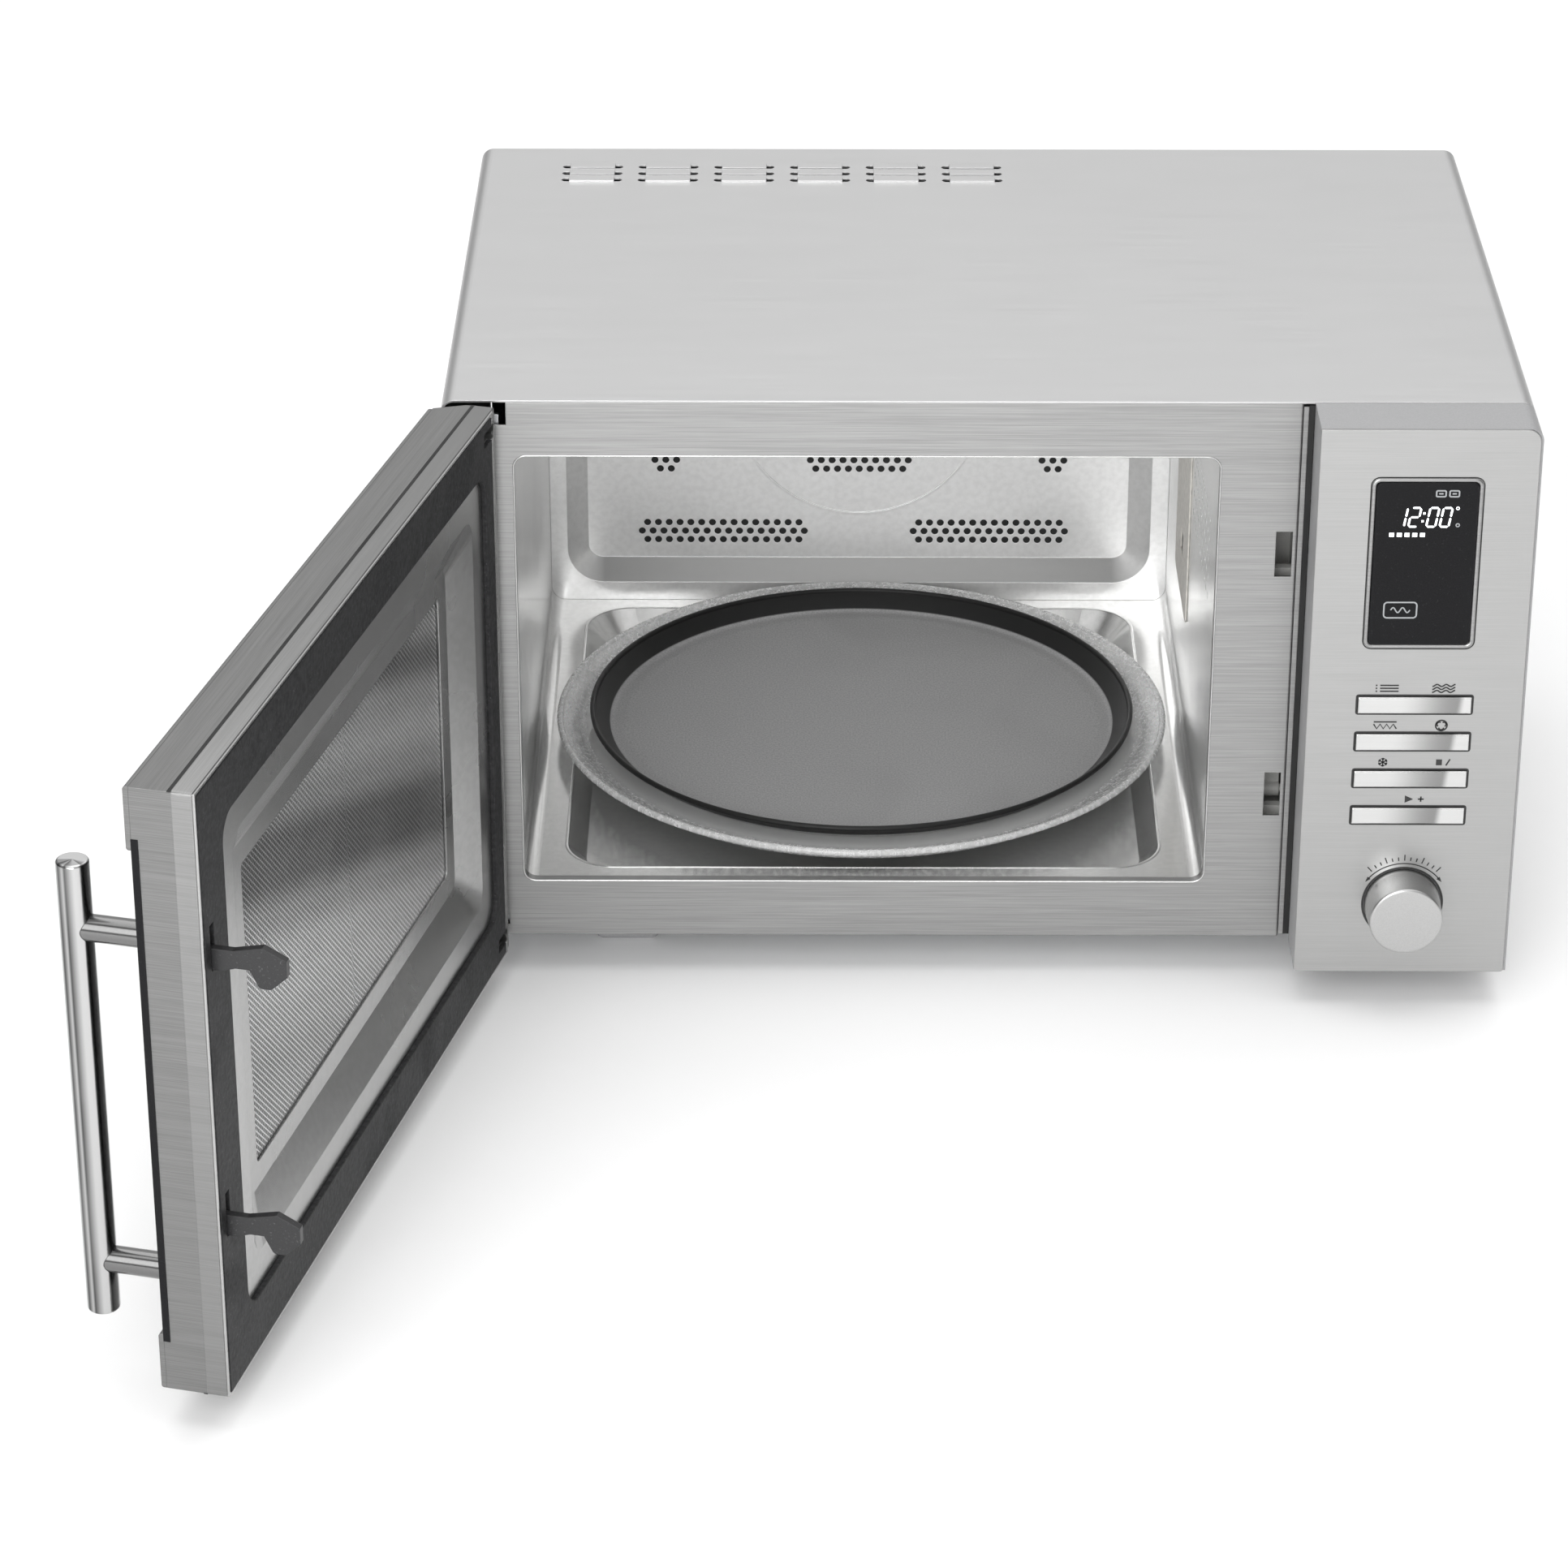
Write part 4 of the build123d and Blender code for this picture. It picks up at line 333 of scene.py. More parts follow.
class NodeSheet:
    """Adds nodes to one node tree and joins them."""

    def __init__(self, tree: bpy.types.NodeTree) -> None:
        """Keep the tree that the nodes go into."""
        self.tree = tree

    def wire(self, node: bpy.types.Node, values: dict) -> None:
        """Set or feed a node's inputs.

        Args:
            node: The node.
            values: Input name or number to a constant or to an output that feeds it.
        """
        for key, value in values.items():
            if isinstance(value, bpy.types.NodeSocket):
                self.tree.links.new(value, node.inputs[key])
            else:
                node.inputs[key].default_value = value

    def add(self, kind: str, values: dict | None = None, **settings: object) -> bpy.types.Node:
        """Add a node.

        Args:
            kind: Blender's type name, without the leading ShaderNode.
            values: Its inputs, as in wire.
            settings: Properties of the node.

        Returns:
            The node.
        """
        node = self.tree.nodes.new("ShaderNode" + kind)
        for key, value in settings.items():
            setattr(node, key, value)
        self.wire(node, values or {})
        return node

    def group(self, tree: bpy.types.NodeTree, values: dict) -> bpy.types.Node:
        """Add a shared group with inputs of its own.

        Args:
            tree: The group.
            values: Its inputs, as in wire.

        Returns:
            The group node.
        """
        node = self.add("Group")
        node.node_tree = tree
        self.wire(node, values)
        return node

    def math(self, operation: str, first: Feed, second: Feed = 0.0, clamp: bool = False) -> Socket:
        """Result of a Math node."""
        return self.add("Math", {0: first, 1: second}, operation=operation, use_clamp=clamp).outputs[0]

    def times(self, first: Feed, second: Feed) -> Socket:
        """Product of two values."""
        return self.math("MULTIPLY", first, second)

    def vector(self, operation: str, first: Feed, second: Feed = (0.0, 0.0, 0.0)) -> bpy.types.Node:
        """Vector Math node."""
        return self.add("VectorMath", {0: first, 1: second}, operation=operation)

    def axes(self, vector: Feed) -> bpy.types.Node:
        """Node that gives x, y and z of a vector."""
        return self.add("SeparateXYZ", {0: vector})

    def turned(self, place: Feed, turn: float) -> Socket:
        """Place turned about Z."""
        values = {"Vector": place, "Rotation": (0.0, 0.0, turn)}
        return self.add("Mapping", values, vector_type="POINT").outputs[0]

    def noise(self, place: Feed, scale: Feed, detail: float, **values: float) -> Socket:
        """Noise at a place, with any other input of the Noise node by its name."""
        return self.add(
            "TexNoise", {"Vector": place, "Scale": scale, "Detail": detail, **values}
        ).outputs[0]

    def remap(
        self, value: Feed, low: float, high: float, new_low: float = 0.0, new_high: float = 1.0
    ) -> Socket:
        """Value taken smoothly from one range to another."""
        wired = {"Value": value, "From Min": low, "From Max": high, "To Min": new_low, "To Max": new_high}
        return self.add("MapRange", wired, interpolation_type="SMOOTHSTEP").outputs["Result"]

    def blend(self, share: Feed, first: Feed, second: Feed) -> Socket:
        """Colour between two colours."""
        return self.add("Mix", {0: share, 6: first, 7: second}, data_type="RGBA").outputs[2]


def fill_ramp(ramp: bpy.types.ColorRamp, stops: list[tuple[float, float]]) -> None:
    """Set a grey ramp.

    Args:
        ramp: The ramp.
        stops: Place and level of each stop, in rising order of place.
    """
    while len(ramp.elements) < len(stops):
        ramp.elements.new(1.0)
    for element, (place, level) in zip(ramp.elements, stops):
        element.position = place
        element.color = (level, level, level, 1.0)


def new_group(name: str, inputs: dict[str, tuple[str, object]], outputs: dict[str, str]) -> tuple:
    """Empty shader node group with named sockets.

    Args:
        name: Name of the group.
        inputs: Input name to (socket kind, starting value).
        outputs: Output name to socket kind.

    Returns:
        The group, its sheet, its input node and its output node.
    """
    group = bpy.data.node_groups.new(name, "ShaderNodeTree")
    for socket_name, (kind, start) in inputs.items():
        socket = group.interface.new_socket(socket_name, in_out="INPUT", socket_type="NodeSocket" + kind)
        if start is not None:
            socket.default_value = start
    for socket_name, kind in outputs.items():
        group.interface.new_socket(socket_name, in_out="OUTPUT", socket_type="NodeSocket" + kind)
    return group, NodeSheet(group), group.nodes.new("NodeGroupInput"), group.nodes.new("NodeGroupOutput")


def brushing_group() -> bpy.types.NodeTree:
    """Brushed streaks: noise stretched along X and fine across, with a slow drift of tone.

    The grain wraps round upright corners, so it is stretched along Y too, except on level faces.
    """
    group, sheet, given, result = new_group(
        "brushing",
        {"Vector": ("Vector", None), "Along": ("Float", 6.0), "Across": ("Float", 900.0)},
        {"Streak": "Float", "Tone": "Float"},
    )
    normal = sheet.add("NewGeometry").outputs["Normal"]
    upward = sheet.math("ABSOLUTE", sheet.axes(normal).outputs[2])
    level = sheet.math("GREATER_THAN", upward, 0.7)
    along, across = given.outputs["Along"], given.outputs["Across"]
    depth_rate = sheet.math("ADD", along, sheet.times(level, sheet.math("SUBTRACT", across, along)))
    stretch = sheet.add("CombineXYZ", {0: along, 1: depth_rate, 2: across}).outputs[0]
    place = sheet.vector("MULTIPLY", given.outputs["Vector"], stretch).outputs[0]
    fine = sheet.noise(place, 1.0, 3.0, Roughness=0.65)
    broad = sheet.noise(place, 0.13, 2.0, Roughness=0.5)
    mixed = sheet.math("ADD", sheet.times(fine, 0.87), sheet.times(broad, 0.13))
    sheet.wire(result, {"Streak": sheet.remap(mixed, 0.3, 0.7)})
    drift = sheet.noise(given.outputs["Vector"], 5.0, 1.0)
    sheet.wire(result, {"Tone": sheet.remap(drift, 0.35, 0.65)})
    return group


def edge_group() -> bpy.types.NodeTree:
    """Edges: a rounded normal, and a mask that is 1 where the rounded normal leaves the true one, which several
    finishes use to paint highlights along edges.
    """
    group, sheet, given, result = new_group(
        "edges", {"Radius": ("Float", 0.0006)}, {"Normal": "Vector", "Edge": "Float"}
    )
    rounded = sheet.add("Bevel", {"Radius": given.outputs["Radius"]}, samples=4).outputs[0]
    match = sheet.vector("DOT_PRODUCT", rounded, sheet.add("NewGeometry").outputs["Normal"])
    edge = sheet.remap(match.outputs["Value"], 0.995, 0.8)
    sheet.wire(result, {"Normal": rounded, "Edge": edge})
    return group


def handling_group() -> bpy.types.NodeTree:
    """Handling: faint smears and a thin film of dust, as a mask from two sizes of noise."""
    group, sheet, given, result = new_group(
        "handling", {
            "Vector": ("Vector", None), "Scale": ("Float", 18.0)
        }, {"Smear": "Float", "Dust": "Float"}
    )
    place = given.outputs["Vector"]
    broad = sheet.noise(place, given.outputs["Scale"], 4.0, Distortion=0.6)
    specks = sheet.noise(place, 900.0, 2.0)
    smear, dust = sheet.remap(broad, 0.42, 0.7), sheet.remap(specks, 0.62, 0.78)
    sheet.wire(result, {"Smear": smear, "Dust": dust})
    return group


def pebble_group() -> bpy.types.NodeTree:
    """Moulded or sprayed grain: rounded cells from a Voronoi pattern, roughened by noise."""
    group, sheet, given, result = new_group(
        "pebble", {
            "Vector": ("Vector", None), "Scale": ("Float", 900.0)
        }, {"Height": "Float", "Tone": "Float"}
    )
    place, scale = given.outputs["Vector"], given.outputs["Scale"]
    cells = sheet.add("TexVoronoi", {"Vector": place, "Scale": scale}, feature="SMOOTH_F1")
    noise = sheet.noise(place, scale, 3.0)
    height = sheet.math("ADD", sheet.times(cells.outputs["Distance"], -0.6), sheet.times(noise, 0.6))
    sheet.wire(result, {"Height": height, "Tone": sheet.remap(noise, 0.3, 0.7)})
    return group


class Effects:
    """The node groups that several finishes share, each built once."""

    def __init__(self) -> None:
        """Build the groups."""
        self.brushing = brushing_group()
        self.edges = edge_group()
        self.handling = handling_group()
        self.pebble = pebble_group()

    def handled(self, sheet: NodeSheet, place: Feed) -> bpy.types.Node:
        """Smears and dust at a place."""
        return sheet.group(self.handling, {"Vector": place})

    def rounded(self, sheet: NodeSheet, radius: float) -> bpy.types.Node:
        """Edges rounded over a radius."""
        return sheet.group(self.edges, {"Radius": radius})


Colour = tuple[float, float, float]


def rgba(colour: Colour, factor: float = 1.0) -> tuple[float, float, float, float]:
    """Colour with full cover, made lighter or darker by a factor."""
    return (*(min(1.0, c * factor) for c in colour), 1.0)


@dataclass(frozen=True)
class Finish:
    """Base of every finish: a Principled shader whose inputs a subclass feeds.

    Attributes:
        name: Name of the material.
        colour: Middle colour of the surface.
        roughness: Middle roughness.
        metallic: 1 for bare metal.
        edge: Radius in metres over which edges look rounded, or 0.
    """

    name: str
    colour: Colour
    roughness: float = 0.4
    metallic: float = 0.0
    edge: float = 0.0005

    def material(self, effects: Effects) -> bpy.types.Material:
        """Build the material.

        Args:
            effects: The shared node groups.

        Returns:
            The material.
        """
        material = bpy.data.materials.new(self.name)
        material.use_nodes = True
        material.node_tree.nodes.clear()
        sheet = NodeSheet(material.node_tree)
        shader = sheet.add("BsdfPrincipled", {"Metallic": self.metallic, "Roughness": self.roughness})
        output = sheet.add("OutputMaterial")
        material.node_tree.links.new(shader.outputs[0], output.inputs[0])
        place = sheet.add("TexCoord").outputs["Object"]
        self.dress(sheet, shader, place, effects)
        return material

    def tone(self, factor: float = 1.0) -> tuple[float, float, float, float]:
        """The finish's colour, made lighter or darker by a factor."""
        return rgba(self.colour, factor)

    def relief(
        self,
        sheet: NodeSheet,
        shader: bpy.types.Node,
        height: Feed,
        strength: float,
        depth: float,
        edges: bpy.types.Node,
    ) -> None:
        """Feed the shader's normal with a height over the rounded edges.

        Args:
            sheet: The material's nodes.
            shader: The Principled shader.
            height: Output that gives the height, from 0 to 1.
            strength: Strength of the relief.
            depth: Real depth in metres of a height of 1.
            edges: Node that gives the rounded normal.
        """
        normal = edges.outputs["Normal"]
        bump = sheet.add(
            "Bump", {"Strength": strength, "Distance": depth, "Height": height, "Normal": normal}
        )
        sheet.wire(shader, {"Normal": bump.outputs[0]})

    def dress(self, sheet: NodeSheet, shader: bpy.types.Node, place: Feed, effects: Effects) -> None:
        """Feed the shader's inputs. Each finish has its own way.

        Args:
            sheet: The material's nodes.
            shader: The Principled shader.
            place: Object coordinates.
            effects: The shared node groups.
        """
        raise NotImplementedError


@dataclass(frozen=True)
class BrushedMetal(Finish):
    """Metal with a straight grain.

    Attributes:
        turn: Angle of the grain about Z in radians, 0 along X.
        along: Streaks per metre along the grain.
        across: Streaks per metre across the grain.
        contrast: How far streaks leave the middle colour.
        depth: Depth of the streaks in metres.
    """

    metallic: float = 1.0
    turn: float = 0.0
    along: float = 20.0
    across: float = 2400.0
    contrast: float = 0.09
    depth: float = 0.00003

    def dress(self, sheet: NodeSheet, shader: bpy.types.Node, place: Feed, effects: Effects) -> None:
        """Streaks in colour, roughness and relief, smears in roughness, and painted highlights on edges."""
        grain = sheet.turned(place, -self.turn)
        brushed = sheet.group(
            effects.brushing, {"Vector": grain, "Along": self.along, "Across": self.across}
        )
        handled = effects.handled(sheet, place)
        edges = effects.rounded(sheet, self.edge)
        streaked = sheet.blend(
            brushed.outputs["Streak"], self.tone(1 - self.contrast), self.tone(1 + self.contrast)
        )
        drifting = sheet.blend(sheet.times(brushed.outputs["Tone"], 0.08), streaked, self.tone(0.9))
        # Painted highlight: edges lightened through the edge mask.
        wear_and_painted_light = sheet.blend(sheet.times(edges.outputs["Edge"], 0.45), drifting, self.tone(1.35))
        sheet.wire(shader, {"Base Color": wear_and_painted_light})
        rough = sheet.remap(
            brushed.outputs["Streak"], 0.0, 1.0, self.roughness * 0.88, self.roughness * 1.12
        )
        smeared = sheet.math("ADD", rough, sheet.times(handled.outputs["Smear"], 0.012))
        sheet.wire(shader, {"Roughness": smeared})
        self.relief(sheet, shader, brushed.outputs["Streak"], 0.25, self.depth, edges)


def key_shade(key: Box, share: float) -> tuple[float, float]:
    """Place in metres, across and up, of the painted dark reflection band on a key.

    Args:
        key: Box of the key.
        share: Place of the band as a share of the key's width.

    Returns:
        Its x and z.
    """
    return (key.low[0] + share * key.size[0]) * MM, key.centre[2] * MM


@dataclass(frozen=True)
class KeyMetal(Finish):
    """Burnished key metal, with a painted dark reflection band across it.

    Attributes:
        low: Place of the band on the lowest key, across and up.
        high: Its place on the highest key.
        reach: Half width of the band in metres.
    """

    metallic: float = 1.0
    low: tuple[float, float] = (0.0, 0.0)
    high: tuple[float, float] = (0.0, 1.0)
    reach: float = 0.011

    def dress(self, sheet: NodeSheet, shader: bpy.types.Node, place: Feed, effects: Effects) -> None:
        """Fine grain, the painted reflection band: darkest at its right side and fading slowly to the left, and
        painted highlights on edges.
        """
        brushed = sheet.group(effects.brushing, {"Vector": place})
        edges = effects.rounded(sheet, self.edge)
        # Painted reflection: a dark soft band slanting across the keys, darkest at its right side.
        axes = sheet.axes(place)
        lean = (self.high[0] - self.low[0]) / (self.high[1] - self.low[1])
        shift = sheet.times(sheet.math("SUBTRACT", axes.outputs[2], self.low[1]), lean)
        off = sheet.math("SUBTRACT", sheet.math("SUBTRACT", axes.outputs[0], self.low[0]), shift)
        rising = sheet.remap(off, -2.6 * self.reach, 0.0)
        falling = sheet.remap(off, 0.0, 0.35 * self.reach, 1.0, 0.0)
        band = sheet.times(rising, falling)
        grained = sheet.blend(brushed.outputs["Streak"], self.tone(0.97), self.tone(1.03))
        banded = sheet.blend(band, grained, self.tone(0.42))
        # Painted highlight: edges lightened through the edge mask.
        wear_and_painted_light = sheet.blend(edges.outputs["Edge"], banded, self.tone(1.3))
        sheet.wire(shader, {"Base Color": wear_and_painted_light})
        self.relief(sheet, shader, brushed.outputs["Streak"], 0.1, 0.00001, edges)


@dataclass(frozen=True)
class SatinMetal(Finish):
    """Smooth metal or metallic coat with no straight grain: soft mottling and painted highlights on edges.

    Attributes:
        scale: Size of the fine mottling, in grains per metre.
        depth: Depth of the mottling in metres.
        shelf: Tone of faces that look upwards, a painted shade that darkens them.
    """

    metallic: float = 1.0
    scale: float = 1800.0
    depth: float = 0.00001
    shelf: float = 1.0

    def dress(self, sheet: NodeSheet, shader: bpy.types.Node, place: Feed, effects: Effects) -> None:
        """Grain in relief, smears in roughness, painted highlights on edges, and painted shade on upward faces."""
        pebble = sheet.group(effects.pebble, {"Vector": place, "Scale": self.scale})
        handled = effects.handled(sheet, place)
        edges = effects.rounded(sheet, self.edge)
        mottled = sheet.blend(pebble.outputs["Tone"], self.tone(0.96), self.tone(1.04))
        # Painted highlight: edges lightened through the edge mask.
        wear_and_painted_light = sheet.blend(sheet.times(edges.outputs["Edge"], 0.4), mottled, self.tone(1.3))
        # Painted shade: faces that look upwards are darkened to the shelf tone.
        if self.shelf < 1.0:
            upward = sheet.axes(sheet.add("NewGeometry").outputs["Normal"]).outputs[2]
            wear_and_painted_light = sheet.blend(sheet.remap(upward, 0.3, 0.75), wear_and_painted_light, self.tone(self.shelf))
        sheet.wire(shader, {"Base Color": wear_and_painted_light})
        smeared = sheet.remap(
            handled.outputs["Smear"], 0.0, 1.0, self.roughness * 0.96, self.roughness * 1.06
        )
        sheet.wire(shader, {"Roughness": smeared})
        self.relief(sheet, shader, pebble.outputs["Height"], 0.15, self.depth, edges)


@dataclass(frozen=True)
class ScreenMetal(Finish):
    """Perforated sheet with broad slanting bands of painted reflection, darker and lighter.

    Attributes:
        swing: The door's turn, which takes the surface back to the shut door.
        sheet: Box of the screen on the shut door.
        slant: How far the bands fall from the free end to the hinge, as a share of the height.
        tones: Tones of the painted reflection bands from the top of the hinge side downwards.
    """

    swing: DoorSwing | None = None
    sheet: Box | None = None
    slant: float = 0.67
    tones: tuple[float, ...] = (
        0.55, 0.8, 0.42, 0.85, 1.0, 0.8, 0.4, 0.36, 0.75, 1.0, 1.0, 0.9, 0.8, 0.85, 0.9, 0.8
    )

    def dress(self, sheet: NodeSheet, shader: bpy.types.Node, place: Feed, effects: Effects) -> None:
        """Painted reflection bands by depth below the top plus the slant, and a fine mottling."""
        axes = sheet.axes(sheet.turned(place, -self.swing.angle))
        hinge_side = self.swing.turned(np.zeros((1, 3)), -self.swing.angle)[0, 0]
        start = (self.sheet.low[0] - hinge_side) * MM
        along = sheet.times(
            sheet.math("SUBTRACT", axes.outputs[0], start), self.slant / (self.sheet.size[0] * MM)
        )
        top = self.sheet.high[2] * MM
        down = sheet.times(sheet.math("SUBTRACT", top, axes.outputs[2]), 1 / (self.sheet.size[2] * MM))
        share = sheet.math("MULTIPLY", sheet.math("ADD", along, down), 1 / (1 + self.slant), True)
        # Painted reflection: the ramp lays the dark and light bands across the screen.
        ramp = sheet.add("ValToRGB", {0: share})
        ramp.color_ramp.interpolation = "EASE"
        places = np.linspace(0, 1, len(self.tones))
        fill_ramp(ramp.color_ramp, [(at, tone * self.colour[0]) for at, tone in zip(places, self.tones)])
        handled = effects.handled(sheet, place)
        mottled = sheet.blend(sheet.times(handled.outputs["Smear"], 0.15), ramp.outputs[0], self.tone(0.8))
        sheet.wire(shader, {"Base Color": mottled})


@dataclass(frozen=True)
class Moulded(Finish):
    """Moulded plastic, rubber, lacquer or a sprayed coat.

    Attributes:
        scale: Grains per metre.
        depth: Depth of the grain in metres.
        contrast: How far the grain leaves the middle colour.
        dust: Share of pale dust.
        gloss: Specular level.
    """

    scale: float = 1400.0
    depth: float = 0.00006
    contrast: float = 0.12
    dust: float = 0.12
    gloss: float = 0.5

    def dress(self, sheet: NodeSheet, shader: bpy.types.Node, place: Feed, effects: Effects) -> None:
        """Grain in colour and relief, dust in colour, smears in roughness, and painted highlights on edges."""
        shader.inputs["Specular IOR Level"].default_value = self.gloss
        pebble = sheet.group(effects.pebble, {"Vector": place, "Scale": self.scale})
        handled = effects.handled(sheet, place)
        edges = effects.rounded(sheet, self.edge)
        grained = sheet.blend(
            pebble.outputs["Tone"], self.tone(1 - self.contrast), self.tone(1 + self.contrast)
        )
        dusty = sheet.blend(sheet.times(handled.outputs["Dust"], self.dust), grained, (0.5, 0.5, 0.5, 1.0))
        # Painted highlight: edges lightened to a paler colour through the edge mask.
        paler = tuple(c * 1.2 + 0.03 for c in self.colour)
        wear_and_painted_light = sheet.blend(sheet.times(edges.outputs["Edge"], 0.4), dusty, rgba(paler))
        sheet.wire(shader, {"Base Color": wear_and_painted_light})
        smeared = sheet.remap(
            handled.outputs["Smear"], 0.0, 1.0, self.roughness * 0.9, self.roughness * 1.1
        )
        sheet.wire(shader, {"Roughness": smeared})
        self.relief(sheet, shader, pebble.outputs["Height"], 0.35, self.depth, edges)


@dataclass(frozen=True)
class NonStick(Finish):
    """Non-stick coat of a tray: a pale speckled floor inside a black wall.

    Attributes:
        floor_top: Height in millimetres under which the floor's look is used.
        floor: Colour of the floor.
        speck: Colour of its pale specks.
    """

    floor_top: float = 60.0
    floor: Colour = (0.25, 0.25, 0.252)
    speck: Colour = (0.42, 0.42, 0.42)

    def dress(self, sheet: NodeSheet, shader: bpy.types.Node, place: Feed, effects: Effects) -> None:
        """Speckles in colour and relief on the floor, and the black coat above it."""
        pebble = sheet.group(effects.pebble, {"Vector": place, "Scale": 1100.0})
        handled = sheet.group(effects.handling, {"Vector": place, "Scale": 9.0})
        edges = effects.rounded(sheet, self.edge)
        height = sheet.axes(place).outputs[2]
        wall = sheet.remap(height, (self.floor_top - 0.3) * MM, (self.floor_top + 0.5) * MM, 0.0, 1.0)
        speckled = sheet.blend(sheet.times(pebble.outputs["Tone"], 0.5), rgba(self.floor), rgba(self.speck))
        wear_and_painted_light = sheet.blend(sheet.times(handled.outputs["Smear"], 0.3), speckled, rgba(self.floor, 0.8))
        sheet.wire(shader, {"Base Color": sheet.blend(wall, wear_and_painted_light, self.tone())})
        sheet.wire(shader, {"Roughness": sheet.remap(wall, 0.0, 1.0, 0.55, self.roughness)})
        shader.inputs["Specular IOR Level"].default_value = 0.25
        self.relief(sheet, shader, pebble.outputs["Height"], 0.3, 0.00008, edges)


@dataclass(frozen=True)
class BarChrome(Finish):
    """Bar stock drawn through a die, with painted reflection streaks of different tone running along it.

    Attributes:
        axis: Place of the bar's upright axis, across and back, in metres.
        lines: Place and tone of each painted reflection streak, from the bar's left, 0, round its front to its
            right, 1.
    """

    metallic: float = 1.0
    axis: tuple[float, float] = (0.0, 0.0)
    lines: tuple[tuple[float, float], ...] = (
        (0.0, 0.5), (0.16, 0.45), (0.21, 0.03), (0.26, 0.25), (0.33, 0.7), (0.38, 0.12),
        (0.47, 0.48), (0.55, 0.8), (0.69, 0.85), (0.73, 0.2), (0.8, 0.5), (0.9, 1.0),
    )

    def dress(self, sheet: NodeSheet, shader: bpy.types.Node, place: Feed, effects: Effects) -> None:
        """Painted reflection streaks by the angle round the axis, with smears in roughness."""
        axes = sheet.axes(place)
        across = sheet.math("SUBTRACT", axes.outputs[0], self.axis[0])
        back = sheet.math("SUBTRACT", axes.outputs[1], self.axis[1])
        turn = sheet.math("ARCTAN2", back, across)
        share = sheet.add(
            "MapRange", {"Value": turn, "From Min": -pi, "From Max": 0.0, "To Min": 0.0, "To Max": 1.0}
        )
        # Painted reflection: streaks of tone round the bar's axis.
        ramp = sheet.add("ValToRGB", {0: share.outputs["Result"]})
        fill_ramp(ramp.color_ramp, [(at, tone * self.colour[0]) for at, tone in self.lines])
        handled = effects.handled(sheet, place)
        edges = effects.rounded(sheet, self.edge)
        smeared = sheet.blend(sheet.times(handled.outputs["Smear"], 0.1), ramp.outputs[0], self.tone(0.8))
        sheet.wire(shader, {"Base Color": smeared})
        rough = sheet.remap(handled.outputs["Smear"], 0.0, 1.0, self.roughness, self.roughness + 0.05)
        sheet.wire(shader, {"Roughness": rough})
        sheet.wire(shader, {"Normal": edges.outputs["Normal"]})


@dataclass(frozen=True)
class Glass(Finish):
    """Pressed or flat glass.

    Attributes:
        clear: Transmission weight.
        ripple: Depth in metres of the slow ripples.
        scale: Ripples per metre.
    """

    clear: float = 1.0
    ripple: float = 0.0001
    scale: float = 60.0

    def dress(self, sheet: NodeSheet, shader: bpy.types.Node, place: Feed, effects: Effects) -> None:
        """Slow ripples in relief, smears in roughness, and a faint change of tint."""
        shader.inputs["Transmission Weight"].default_value = self.clear
        shader.inputs["IOR"].default_value = 1.5
        handled = effects.handled(sheet, place)
        edges = effects.rounded(sheet, self.edge)
        waves = sheet.noise(place, self.scale, 2.0)
        tint = sheet.blend(sheet.times(handled.outputs["Smear"], 0.3), self.tone(), self.tone(0.94))
        sheet.wire(shader, {"Base Color": tint})
        smeared = sheet.remap(handled.outputs["Smear"], 0.0, 1.0, self.roughness, self.roughness + 0.04)
        sheet.wire(shader, {"Roughness": smeared})
        self.relief(sheet, shader, waves, 0.3, self.ripple, edges)


@dataclass(frozen=True)
class PressedGlass(Glass):
    """Pressed glass plate whose raised border is frosted with fine streaks towards the rim.

    Attributes:
        plate: Box of the plate.
        border: Width of the frosted border.
        streaks: Streaks per radian round the plate.
        bursts: Breaks in the streaks per metre outwards.
    """

    plate: Box | None = None
    border: float = 18.0
    streaks: float = 55.0
    bursts: float = 650.0

    def dress(self, sheet: NodeSheet, shader: bpy.types.Node, place: Feed, effects: Effects) -> None:
        """Streaks from noise on the direction from the middle, kept to the border by the radius."""
        super().dress(sheet, shader, place, effects)
        x, y, _ = self.plate.centre * MM
        flat = sheet.vector("SUBTRACT", place, (x, y, 0.0)).outputs[0]
        level = sheet.vector("MULTIPLY", flat, (1.0, 1.0, 0.0)).outputs[0]
        radius = sheet.vector("LENGTH", level).outputs["Value"]
        heading = sheet.vector("NORMALIZE", level).outputs[0]
        spread = sheet.vector("MULTIPLY", heading, (self.streaks,) * 3).outputs[0]
        outward = sheet.add("CombineXYZ", {2: sheet.times(radius, self.bursts)}).outputs[0]
        noise = sheet.noise(sheet.vector("ADD", spread, outward).outputs[0], 1.0, 4.0, Roughness=0.7)
        rim = self.plate.size[0] / 2
        border = sheet.remap(radius, (rim - self.border) * MM, (rim - self.border + 4.0) * MM, 0.0, 1.0)
        streak = sheet.times(border, sheet.remap(noise, 0.32, 0.68))
        frosted = sheet.blend(streak, self.tone(0.8), (1.0, 1.0, 1.0, 1.0))
        sheet.wire(shader, {"Base Color": sheet.blend(border, self.tone(), frosted)})
        sheet.wire(shader, {"Roughness": sheet.remap(streak, 0.0, 1.0, self.roughness, 0.35)})
        edges = effects.rounded(sheet, self.edge)
        self.relief(sheet, shader, streak, 0.4, 0.0002, edges)


@dataclass(frozen=True)
class Lit(Finish):
    """Lit display segment.

    Attributes:
        glow: Strength of the light that it gives.
    """

    glow: float = 1.0

    def dress(self, sheet: NodeSheet, shader: bpy.types.Node, place: Feed, effects: Effects) -> None:
        """A glow that varies a little from place to place."""
        uneven = sheet.noise(place, 300.0, 1.0)
        light = sheet.blend(uneven, self.tone(0.9), self.tone())
        sheet.wire(shader, {"Emission Color": light})
        sheet.wire(shader, {"Base Color": light})
        shader.inputs["Emission Strength"].default_value = self.glow


